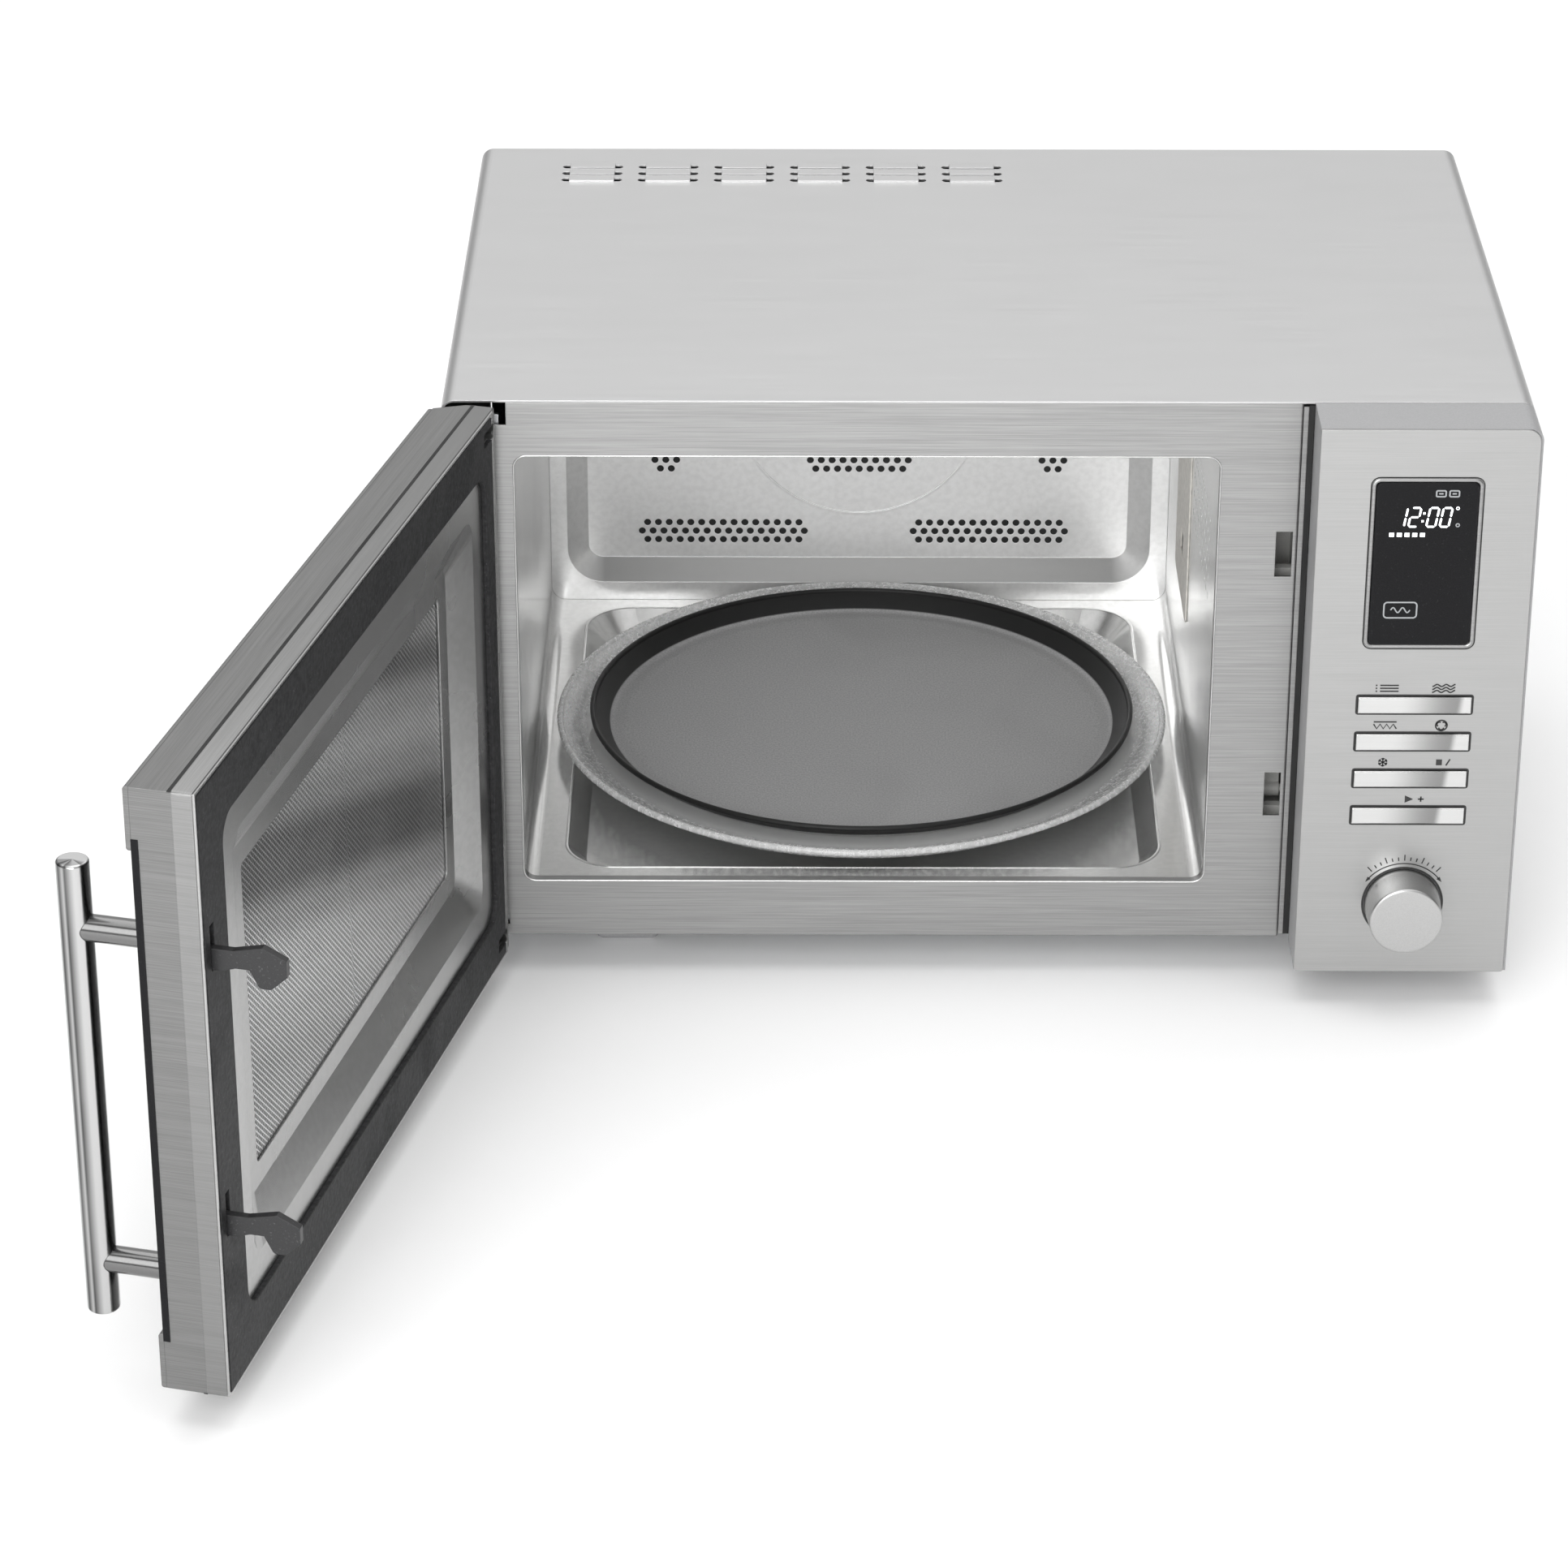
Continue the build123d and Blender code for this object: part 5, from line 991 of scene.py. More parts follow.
class FinishBook:
    """Every finish of the oven, by the record's slot names and a few of its own."""

    def __init__(self, swing: DoorSwing) -> None:
        """Build the materials.

        Args:
            swing: The door's turn, which its brushed grain follows.
        """
        effects = Effects()
        steel = (0.345, 0.345, 0.343)
        finishes = [
            BrushedMetal(
                "cabinet_steel",
                (0.58, 0.58, 0.58),
                roughness=0.4,
                metallic=0.9,
                contrast=0.025,
                depth=0.000008,
            ),
            BrushedMetal("brushed_steel", steel, roughness=0.36, contrast=0.14),
            BrushedMetal(
                "door_steel", (0.225, 0.225, 0.223), roughness=0.36, contrast=0.15, turn=swing.angle
            ),
            BrushedMetal(
                "door_band_steel", (0.27, 0.27, 0.268), roughness=0.36, contrast=0.1, turn=swing.angle
            ),
            BrushedMetal("panel_steel", (0.43, 0.43, 0.427), roughness=0.38, contrast=0.06, depth=0.00001),
            SatinMetal(
                "cavity_steel",
                (0.72, 0.72, 0.715),
                roughness=0.2,
                metallic=0.84,
                scale=300.0,
                depth=0.000004,
            ),
            SatinMetal("dish_steel", (0.45, 0.45, 0.447), roughness=0.26, scale=300.0, depth=0.000003),
            ScreenMetal(
                "screen_steel",
                (0.74, 0.74, 0.735),
                roughness=0.4,
                metallic=0.85,
                swing=swing,
                sheet=swing.shut_box("door_mesh"),
            ),
            # Painted light: lighter than cavity_steel so the back wall reads brighter, with painted shade on its
            # upward faces.
            SatinMetal(
                "back_wall_steel",
                (0.93, 0.93, 0.925),
                roughness=0.38,
                metallic=0.6,
                scale=300.0,
                depth=0.000004,
                shelf=0.42,
            ),
            SatinMetal("trim_steel", (0.66, 0.66, 0.655), roughness=0.25, scale=300.0),
            SatinMetal("zinc_steel", (0.52, 0.53, 0.54), roughness=0.42, scale=300.0),
            BarChrome(
                "polished_steel",
                (0.66, 0.66, 0.657),
                roughness=0.16,
                axis=tuple(box_of("handle_bar").centre[:2] * MM),
            ),
            SatinMetal("knob_steel", (0.50, 0.50, 0.497), roughness=0.3),
            SatinMetal("post_steel", (0.2, 0.2, 0.199), roughness=0.16),
            KeyMetal(
                "key_steel",
                (0.66, 0.66, 0.655),
                roughness=0.26,
                low=key_shade(box_of("start_button"), 0.73),
                high=key_shade(box_of("rocker_upper"), 0.87),
            ),
            # Dark joints such as the display seam, and painted shade: dark sheets, strips and the convection parts
            # behind the back wall's holes stand where there is only shade.
            Moulded("dark_lining", (0.008, 0.008, 0.008), roughness=0.7, dust=0.0),
            SatinMetal("screw_steel", (0.66, 0.66, 0.64), roughness=0.3),
            Moulded("panel_plastic", (0.33, 0.33, 0.335), roughness=0.45, contrast=0.05, dust=0.04),
            Moulded("black_plastic", (0.016, 0.016, 0.017), roughness=0.42),
            Moulded(
                "choke_plastic",
                (0.022, 0.022, 0.023),
                roughness=0.6,
                scale=420.0,
                depth=0.0005,
                contrast=0.35,
                gloss=0.22,
            ),
            Glass("door_glass", (0.02, 0.02, 0.021), roughness=0.02, ripple=0.00002, scale=12.0, clear=0.3),
            PressedGlass(
                "clear_glass",
                (0.93, 0.935, 0.93),
                roughness=0.06,
                clear=0.5,
                ripple=0.0006,
                plate=box_of("glass_turntable"),
            ),
            Moulded(
                "display_glass", (0.010, 0.010, 0.011), roughness=0.1, depth=0.000002, dust=0.02, gloss=0.12
            ),
            NonStick(
                "tray_coating",
                (0.009, 0.009, 0.009),
                roughness=0.45,
                floor_top=box_of("baking_tray").low[2] + 2.2,
            ),
            Moulded("mica", (0.62, 0.60, 0.56), roughness=0.55, scale=300.0),
            SatinMetal("heater", (0.16, 0.15, 0.145), roughness=0.5, scale=900.0),
            Moulded("iron", (0.10, 0.09, 0.085), roughness=0.55, metallic=0.6),
            SatinMetal("aluminium", (0.72, 0.72, 0.73), roughness=0.35),
            Moulded("circuit_board", (0.05, 0.17, 0.08), roughness=0.4),
            Moulded("white_plastic", (0.62, 0.62, 0.60), roughness=0.4, contrast=0.04),
            Moulded("rubber", (0.05, 0.05, 0.052), roughness=0.7),
            SatinMetal("spring_steel", (0.45, 0.45, 0.45), roughness=0.3),
            Lit("lit_segment", (0.95, 0.98, 1.0), glow=1.2),
            Lit("dim_segment", (0.30, 0.31, 0.32), glow=0.25),
            Moulded("print_ink", (0.02, 0.02, 0.02), roughness=0.5, contrast=0.3, dust=0.0),
        ]
        self.materials = {finish.name: finish.material(effects) for finish in finishes}
        LOG.info("%d finishes", len(self.materials))

    def put(self, piece: bpy.types.Object, name: str) -> None:
        """Give a piece one finish all over.

        Args:
            piece: A new piece or a CAD node.
            name: Name of the finish.
        """
        piece.data.materials.clear()
        piece.data.materials.append(self.materials[name])

    def dress_nodes(self, own: dict[str, str]) -> None:
        """Give every CAD node the finish of its record slot, or its own where it has one.

        Args:
            own: Node name to the finish that it takes instead of its slot's.
        """
        for part in frame["record"]["subparts"]:
            node = part["node"]
            self.put(frame["nodes"][node], own.get(node, part["material_slot"]))


# ---------------------------------------------------------------- door window
@dataclass
class DoorScreen:
    """Perforated steel screen behind the door's window, made in two halves.

    Attributes:
        swing: The door's turn.
        pitch: Diagonal of one diamond cell, across and up.
        opening: Size of a hole as a share of its cell.
        thickness: Thickness of the sheet.
        inset: How far it lies behind the front of the CAD's sheet.
    """

    swing: DoorSwing
    pitch: float = 3.1
    opening: float = 0.72
    thickness: float = 0.4
    inset: float = 0.1

    def half(self, x: tuple[float, float], z: tuple[float, float], front: float) -> Shape:
        """One half of the screen.

        Cells stand on a checkerboard of half diagonals. Each is a diamond |u| + |v| = d / 2 with a
        smaller diamond cut from it, drawn on the front and back faces and joined by the hole's walls.

        Args:
            x: Range of cell middles across the shut door.
            z: Their range in height.
            front: Y of the face towards the front.

        Returns:
            Points and faces on the shut door.
        """
        step = self.pitch / 2
        columns = np.arange(round((x[1] - x[0]) / step))
        rows = np.arange(round((z[1] - z[0]) / step))
        column, row = (a.ravel() for a in np.meshgrid(columns, rows))
        kept = (column + row) % 2 == 0
        middle = np.stack([x[0] + column[kept] * step, z[0] + row[kept] * step], 1)
        diamond = np.array([(1, 0), (0, 1), (-1, 0), (0, -1)]) * step
        rings = [
            (diamond, 0.0), (diamond * self.opening, 0.0), (diamond * self.opening, 1.0), (diamond, 1.0)
        ]
        flat = np.stack([middle[:, None] + ring for ring, _ in rings], 1)
        depth = np.broadcast_to(
            np.array([level for _, level in rings])[:, None] * self.thickness, flat.shape[:3]
        )
        points = np.stack([flat[..., 0], front + depth, flat[..., 1]], -1).reshape(-1, 3)
        cell = grid_faces(4, 4, wrap_columns=True)
        faces = (cell[None] + 16 * np.arange(len(middle))[:, None, None]).reshape(-1, 4)
        return points, faces

    def build(self, book: FinishBook) -> None:
        """Make both halves where the CAD's plain sheet lies.

        Args:
            book: The finishes.
        """
        sheet = self.swing.shut_box("door_mesh")
        middle = round(sheet.size[0] / self.pitch / 2) * self.pitch + sheet.low[0]
        height = (sheet.low[2] + self.pitch / 2, sheet.high[2])
        spans = {
            "door_screen_hinge_half": (sheet.low[0] + self.pitch / 2, middle),
            "door_screen_latch_half": (middle, sheet.high[0]),
        }
        for name, span in spans.items():
            points, faces = self.half(span, height, sheet.low[1] + self.inset)
            piece = piece_from(
                name, (self.swing.opened(points), faces), "door", smooth=False
            )
            book.put(piece, "screen_steel")
            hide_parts("door_mesh")


@dataclass
class DoorEdgeBand:
    """Brushed band round the edge of the door's inner plate, and a dark strip in front of it that paints the
    shadow in the gap to the frame.

    Attributes:
        swing: The door's turn.
        overlap: How far the band stands off the plate's edge.
        bright: Width of the plate's edge that stays bare next to the choke cover.
        gap: Space between the plate and the door's frame.
        shadow: Width of the painted shadow strip on the plate's side of that space.
        sheet: Thickness of the band.
        corner: Radius of its corners.
        lip: How far the painted shadow strip reaches inwards.
    """

    swing: DoorSwing
    overlap: float = 0.3
    bright: float = 1.1
    gap: float = 0.8
    shadow: float = 1.0
    sheet: float = 0.6
    corner: float = 1.2
    lip: float = 0.4

    def ring(self, plate: Box) -> Shape:
        """Thin flat section carried round the plate's outline.

        Args:
            plate: Box of the plate on the shut door.

        Returns:
            Points and faces on the open door.
        """
        start, end = self.shadow, plate.size[1] - self.bright
        width, height = plate.size[0] + self.overlap, plate.size[2] + self.overlap
        section = np.array([(-1, start), (-1, end), (1, end), (1, start)])
        outline = rounded_rectangle(width, height, self.corner, 4)
        points, faces = Stroke(outline, self.sheet, True).solid(section)
        return self.swing.opened(points + (plate.centre[0], plate.low[1], plate.centre[2])), faces

    def build(self, book: FinishBook) -> None:
        """Make the band and the painted shadow strip.

        Args:
            book: The finishes.
        """
        plate = self.swing.shut_box("door_plate")
        band = piece_from("door_edge_band", self.ring(plate), "door")
        book.put(band, "door_band_steel")
        # Painted shadow: dark strips along the plate's top and bottom edges, in the gap to the frame.
        strips = []
        for edge in (plate.high[2], plate.low[2]):
            low = np.array([plate.low[0], plate.low[1] - self.gap, edge - self.lip])
            high = np.array([plate.high[0], plate.low[1] + self.shadow, edge + self.overlap])
            strips.append(block(low, high))
        points, faces = joined(strips)
        gap_shadow_strip = piece_from(
            "door_gap_shadow", (self.swing.opened(points), faces), "door", smooth=False
        )
        book.put(gap_shadow_strip, "dark_lining")


@dataclass
class GlassEdge:
    """Black edge of the door's front glass, showing at the door's free end between the bands.

    Attributes:
        swing: The door's turn.
        proud: How far it stands off the frame's end.
        lap: How far it reaches over the frame.
    """

    swing: DoorSwing
    proud: float = 0.3
    lap: float = 1.0

    def build(self, book: FinishBook) -> None:
        """Make the strip.

        Args:
            book: The finishes.
        """
        glass = self.swing.shut_box("door_glass")
        frame_box = self.swing.shut_box("door_frame")
        low = np.array([frame_box.high[0] - self.lap, frame_box.low[1] - self.proud / 2, glass.low[2]])
        high = np.array([frame_box.high[0] + self.proud, glass.high[1], glass.high[2]])
        points, faces = block(low, high)
        piece = piece_from(
            "door_glass_edge", (self.swing.opened(points), faces), "door", smooth=False
        )
        book.put(piece, "display_glass")


@dataclass
class ShadeSheetsAndFlange:
    """Dark sheets that paint shade in front of the rear panel and beside the control panel, and the plate's
    flange.

    Attributes:
        inset: How far the rear sheet keeps off the cabinet's edges.
        stand_off: Distance of the rear sheet from the rear panel.
        sheet: Thickness of the rear sheet.
        flange: Width of the front plate's flange that shows beside the panel.
        depth: How far back the flange and the sheet beside it reach.
        play: Clearance at the sides of the gap.
        trim: How far both end below the top.
    """

    inset: float = 8.0
    stand_off: float = 1.5
    sheet: float = 0.5
    flange: float = 2.4
    depth: float = 3.0
    play: float = 0.05
    trim: float = 1.5

    def build(self, book: FinishBook) -> None:
        """Make the painted shade sheets and the flange.

        Args:
            book: The finishes.
        """
        cabinet, rear = box_of("outer_wrapper"), box_of("rear_panel")
        plate, panel = box_of("front_frame"), box_of("control_panel_body")
        back, seam = rear.low[1] - self.stand_off, plate.high[0] + self.flange
        behind = plate.low[1] + self.depth
        # Painted shade: both dark sheets stand where there is only shade, inside the cabinet and in the gap beside
        # the panel.
        shapes = {
            "rear_shade_sheet": block(
                np.array([cabinet.low[0] + self.inset, back, cabinet.low[2] + self.inset]),
                np.array([cabinet.high[0] - self.inset, back + self.sheet, cabinet.high[2] - self.inset]),
            ),
            "gap_shade_sheet": block(
                np.array([seam, plate.low[1] + 0.5, panel.low[2] + 3.0]),
                np.array([panel.low[0] - self.play, behind, panel.high[2] - self.trim]),
            ),
        }
        for name, shape in shapes.items():
            book.put(piece_from(name, shape, "cabinet", smooth=False), "dark_lining")
        flange = block(
            np.array([plate.high[0] + self.play, plate.low[1] + 0.3, plate.low[2] + 1.0]),
            np.array([seam, behind, plate.high[2] - self.trim]),
        )
        piece = piece_from("plate_flange", flange, "cabinet", smooth=False)
        book.put(piece, "brushed_steel")


@dataclass
class CavityTrim:
    """Bright lip round the cavity's mouth and the rounded crest of its floor recess.

    Attributes:
        mouth: Width and height of the mouth.
        mouth_middle: Its middle, across and up.
        mouth_corner: Radius of its corners.
        lip: Width of the lip.
        recess: Width and depth of the floor recess.
        recess_corner: Radius of its corners.
        recess_back: How far back the middle of the recess lies.
        floor: Height of the cavity floor.
        crest: Width of the crest.
        rise: Height of both beads.
        sunk: How far the crest sinks into the floor.
    """

    mouth: tuple[float, float] = (332.5, 226.0)
    mouth_middle: tuple[float, float] = (-56.35, 164.4)
    mouth_corner: float = 6.0
    lip: float = 0.8
    recess: tuple[float, float] = (294.0, 299.0)
    recess_corner: float = 25.0
    recess_back: float = -3.5
    floor: float = 49.9
    crest: float = 1.8
    rise: float = 0.35
    sunk: float = 0.02

    def bead(
        self, size: tuple[float, float], grown: float, corner: float, width: float, steps: int
    ) -> Shape:
        """Half-round bead along a rounded outline.

        Args:
            size: Width and height of the opening.
            grown: How much larger the outline is.
            corner: Radius of its corners.
            width: Width of the bead.
            steps: Points in each corner.

        Returns:
            Points as (across, rise, along) and faces.
        """
        outline = rounded_rectangle(size[0] + grown, size[1] + grown, corner, steps)
        return Stroke(outline, width, True).solid(half_round(self.rise))

    def build(self, book: FinishBook) -> None:
        """Make the lip and the crest.

        Args:
            book: The finishes.
        """
        x, z = self.mouth_middle
        points, faces = self.bead(self.mouth, self.lip, self.mouth_corner, self.lip, 7)
        upright = points * (1, -1, 1) + (x, box_of("outer_wrapper").low[1], z)
        book.put(piece_from("mouth_lip", (upright, faces), "cabinet"), "trim_steel")
        points, faces = self.bead(self.recess, 1.0, self.recess_corner, self.crest, 14)
        level = points[:, [0, 2, 1]] + (x, self.recess_back, self.floor - self.sunk)
        book.put(piece_from("recess_crest", (level, faces), "cabinet"), "trim_steel")


# ---------------------------------------------------------------- turntable
def ridges(radius: Array, rings: tuple[float, ...], height: float, width: float) -> Array:
    """Height of low ring-shaped ridges: h e^(-((r - r0) / w)^2), added up over the ring radii r0."""
    return sum(height * np.exp(-(((radius - ring) / width) ** 2)) for ring in rings)


@dataclass
class GlassPlate:
    """Pressed glass turntable with a raised rim, grooves in its top and drive lugs.

    Attributes:
        thickness: Thickness of the flat middle.
        slope: Width of the sloping border.
        bead: Radius of the rounded rim.
        grooves: Radii of the grooves in the top.
        lug_circle: Radius of the circle of lugs.
        lug: Section of a lug, as radius and height.
        steps: Steps round the plate.
    """

    thickness: float = 4.0
    slope: float = 14.0
    bead: float = 1.7
    grooves: tuple[float, ...] = (40.0, 62.0, 118.0, 140.0)
    lug_circle: float = 16.5
    lug: tuple[tuple[float, float], ...] = ((0, -6.5), (2.6, -6.5), (3.6, -5.6), (4.0, 0.6), (0, 0.6))
    steps: int = 192

    def profile(self, radius: float, underside: float, rim: float) -> Array:
        """Section from the middle of the underside round the rim to the middle of the top.

        Args:
            radius: Radius of the plate.
            underside: Height of its underside.
            rim: Height of its rim.

        Returns:
            Rows of radius and height.
        """
        flat = radius - self.slope
        under = np.linspace(0, flat, 60)
        top = np.linspace(flat - 2, 0, 60)
        surface = underside + self.thickness
        return np.concatenate([
            np.stack([under, np.full_like(under, underside + 0.2)], 1),
            arc((flat, underside + 7.2), 7.0, -88, -46, 8),
            arc((radius - self.bead, rim - self.bead), self.bead, -40, 165, 14),
            arc((flat - 0.6, surface + 6.0), 6.0, -44, -88, 8),
            np.stack([top, surface - ridges(top, self.grooves, 0.35, 1.2)], 1),
        ])

    def build(self, book: FinishBook) -> None:
        """Make the plate with its lugs.

        Args:
            book: The finishes.
        """
        cad = box_of("glass_turntable")
        underside = box_of("baking_tray").low[2] - 0.2 - self.thickness
        centre = cad.centre * (1, 1, 0)
        shapes = [lathe(self.profile(cad.size[0] / 2, underside, cad.high[2]), centre, self.steps)]
        for turn in (radians(30), radians(150), radians(270)):
            place = np.array([self.lug_circle * np.cos(turn), self.lug_circle * np.sin(turn), underside])
            shapes.append(lathe(np.array(self.lug), centre + place, 20))
        piece = piece_from("glass_plate", joined(shapes), "turntable")
        book.put(piece, "clear_glass")
        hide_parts("glass_turntable")


@dataclass
class Tray:
    """Pressed baking tray with a flared wall and a rolled rim.

    Attributes:
        sheet: Thickness of the steel with its coat.
        bead: Radius of the rolled rim.
        floor_radius: Radius of the floor with its rounded edge.
        steps: Steps round the tray.
    """

    sheet: float = 1.0
    bead: float = 1.4
    floor_radius: float = 131.4
    steps: int = 224

    def profile(self, radius: float, low: float, high: float) -> Array:
        """Section from the middle of the underside round the bead to the middle of the floor.

        Args:
            radius: Radius of the rim.
            low: Height of the underside.
            high: Height of the rim.

        Returns:
            Rows of radius and height.
        """
        edge, floor = self.floor_radius, low + self.sheet
        top = np.linspace(edge - 5, 0, 60)
        return np.concatenate([
            np.stack([np.linspace(0, edge - 3, 24), np.full(24, low)], 1),
            arc((edge - 3, low + 4.4), 4.4, -84, -34, 7),
            arc((radius - self.bead, high - self.bead), self.bead, -110, 205, 22),
            arc((edge - 4.0, floor + 3.6), 3.6, -34, -88, 7),
            np.stack([top, floor + ridges(top, (edge - 9,), 0.25, 1.4)], 1),
        ])

    def build(self, book: FinishBook) -> None:
        """Make the tray.

        Args:
            book: The finishes.
        """
        cad = box_of("baking_tray")
        profile = self.profile(cad.size[0] / 2, cad.low[2], cad.high[2])
        piece = piece_from(
            "crisp_tray", lathe(profile, cad.centre * (1, 1, 0), self.steps), "tray"
        )
        book.put(piece, "tray_coating")
        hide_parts("baking_tray")


# ---------------------------------------------------------------- control panel
SEGMENTS = {"0": "abcdef", "1": "bc", "2": "abged"}


def dash(x: float, z: float, length: float, width: float) -> Stroke:
    """Level dash that starts at x, z."""
    return Stroke(np.array([(x, z), (x + length, z)]), width)


def ring(x: float, z: float, radius: float, width: float) -> Stroke:
    """Small circle about x, z."""
    return Stroke(arc((x, z), radius, 0, 360, 13)[:-1], width, True)


@dataclass
class Readout:
    """Clock display: slanted seven-segment digits, a row of bars and a few small marks.

    Places are taken from the window's top left corner, or its bottom left for the boxed wave.

    Attributes:
        digit: Width and height of a digit.
        stroke: Width of a segment.
        slant: Sideways lean as a share of height.
        pitch: Distance from digit to digit.
        text: Digits shown, with a colon.
        clock_at: Lower left corner of the digits.
        bars_at: Left end of the row of bars.
        bar_pitch: Distance from bar to bar.
        boxed_wave: Middle of the boxed wave.
        tabs_at: Middles of the two tabs, from the window's middle.
        lit_depth: How far lit marks stand proud.
        dim_depth: How far dim marks stand proud.
    """

    digit: tuple[float, float] = (4.2, 9.6)
    stroke: float = 0.95
    slant: float = 0.16
    pitch: float = 6.2
    text: str = "12:00"
    clock_at: tuple[float, float] = (9.4, -22.2)
    bars_at: tuple[float, float] = (7.0, -26.4)
    bar_pitch: float = 3.6
    boxed_wave: tuple[float, float] = (14.3, 18.2)
    tabs_at: tuple[float, float] = (6.2, 12.4)
    lit_depth: float = 0.12
    dim_depth: float = 0.1

    def bar(self, start: tuple[float, float], end: tuple[float, float]) -> Stroke:
        """One segment: a bar with pointed ends, a little shorter than the line from start to end.

        Args:
            start: One end of the line.
            end: The other end.

        Returns:
            The bar.
        """
        a, b = np.array(start, float), np.array(end, float)
        along = (b - a) / np.linalg.norm(b - a)
        gap, taper, tip = 0.25, self.stroke / 2, 0.12
        points = [a + along * gap, a + along * (gap + taper), b - along * (gap + taper), b - along * gap]
        return Stroke(np.array(points), np.array([tip, self.stroke, self.stroke, tip]))

    def digit_bars(self, which: str) -> list[Stroke]:
        """The segments of one digit about its lower left corner.

        Args:
            which: The digit.

        Returns:
            Its bars.
        """
        w, h = self.digit
        ends = {
            "a": ((0, h), (w, h)), "b": (
                (w, h), (w, h / 2)
            ), "c": ((w, h / 2), (w, 0)), "d": ((0, 0), (w, 0)),
            "e": ((0, h / 2), (0, 0)), "f": ((0, h), (0, h / 2)), "g": ((0, h / 2), (w, h / 2)),
        }
        return [self.bar(*ends[letter]) for letter in SEGMENTS[which]]

    def clock(self) -> list[Stroke]:
        """All digits and the colon, leaning to the right, about the left end of the line.

        Returns:
            Their bars and dots.
        """
        strokes, x = [], 0.0
        for letter in self.text:
            if letter == ":":
                strokes += [dash(x - 0.6, z, 1.1, 1.1) for z in (2.8, 6.8)]
                x += 2.2
            else:
                strokes += [Stroke(s.points + (x, 0), s.width) for s in self.digit_bars(letter)]
                x += self.pitch
        return [Stroke(s.points + np.outer(s.points[:, 1], (self.slant, 0)), s.width) for s in strokes]

    def lit_marks(self, left: float, top: float) -> list[Stroke]:
        """Digits, bars and the degree mark.

        Args:
            left: Left side of the window from its middle.
            top: Its top side.

        Returns:
            Their strokes about the window's middle.
        """
        digits = [
            Stroke(s.points + (left + self.clock_at[0], top + self.clock_at[1]), s.width)
            for s in self.clock()
        ]
        start, level = left + self.bars_at[0], top + self.bars_at[1]
        bars = [dash(start + self.bar_pitch * count, level, 2.3, 2.0) for count in range(5)]
        return digits + bars + [ring(-left - 9.6, top - 12.8, 0.7, 0.35)]

    def dim_marks(self, left: float, top: float) -> list[Stroke]:
        """Boxed wave, drop and tabs.

        Args:
            left: Left side of the window from its middle.
            top: Its top side.

        Returns:
            Their strokes about the window's middle.
        """
        x, z = left + self.boxed_wave[0], -top + self.boxed_wave[1]
        box = Stroke(rounded_rectangle(15.4, 8.0, 1.6) + (x, z), 0.7, True)
        run = np.linspace(0, 9.0, 31)
        wave = Stroke(np.stack([x - 4.5 + run, z + 1.3 * np.sin(run * 1.4)], 1), 0.6)
        height = top - 5.4
        tabs = [Stroke(rounded_rectangle(4.4, 3.0, 0.6) + (at, height), 0.7, True) for at in self.tabs_at]
        lines = [dash(at - 1.0, height, 2.0, 0.7) for at in self.tabs_at]
        return [box, wave, ring(-left - 9.2, top - 21.4, 0.8, 0.5)] + tabs + lines

    def build(self, book: FinishBook) -> None:
        """Make the lit marks, the dim marks, the bezel and the seam round it.

        Args:
            book: The finishes.
        """
        window, skin = box_of("display_window"), box_of("control_panel_skin").low[1]
        x, _, z = window.centre
        left, top = -window.size[0] / 2, window.size[2] / 2
        seam = Stroke(rounded_rectangle(window.size[0] + 4.8, window.size[2] + 4.8, 4.2), 0.55, True)
        drawings = {
            "display_lit_marks": (self.lit_marks(left, top), window.low[1], self.lit_depth, "lit_segment"),
            "display_dim_marks": (self.dim_marks(left, top), window.low[1], self.dim_depth, "dim_segment"),
            "display_seam": ([seam], skin, 0.05, "dark_lining"),
        }
        for name, (strokes, front, depth, finish) in drawings.items():
            shape = drawn_on_front(strokes, x, z, front, depth)
            book.put(piece_from(name, shape, "cabinet", smooth=False), finish)
        outline = rounded_rectangle(window.size[0] + 2.2, window.size[2] + 2.2, 3.2)
        points, faces = Stroke(outline, 2.0, True).solid(half_round(0.7))
        shape = (points * (1, -1, 1) + (x, skin, z), faces)
        book.put(piece_from("display_bezel", shape, "cabinet"), "brushed_steel")


class Symbol(Enum):
    """Generic pictograms above the keys."""

    LIST = "list"
    WAVES = "waves"
    GRILL = "grill"
    FAN = "fan"
    FLAKE = "flake"
    STOP = "stop"
    START = "start"


KEY_SYMBOLS = {
    "rocker_upper": (Symbol.LIST, Symbol.WAVES),
    "rocker_middle": (Symbol.GRILL, Symbol.FAN),
    "rocker_lower": (Symbol.FLAKE, Symbol.STOP),
    "start_button": (Symbol.START,),
}


def ray(turn: float) -> Array:
    """Unit vector at an angle in radians."""
    return np.array([np.cos(turn), np.sin(turn)])


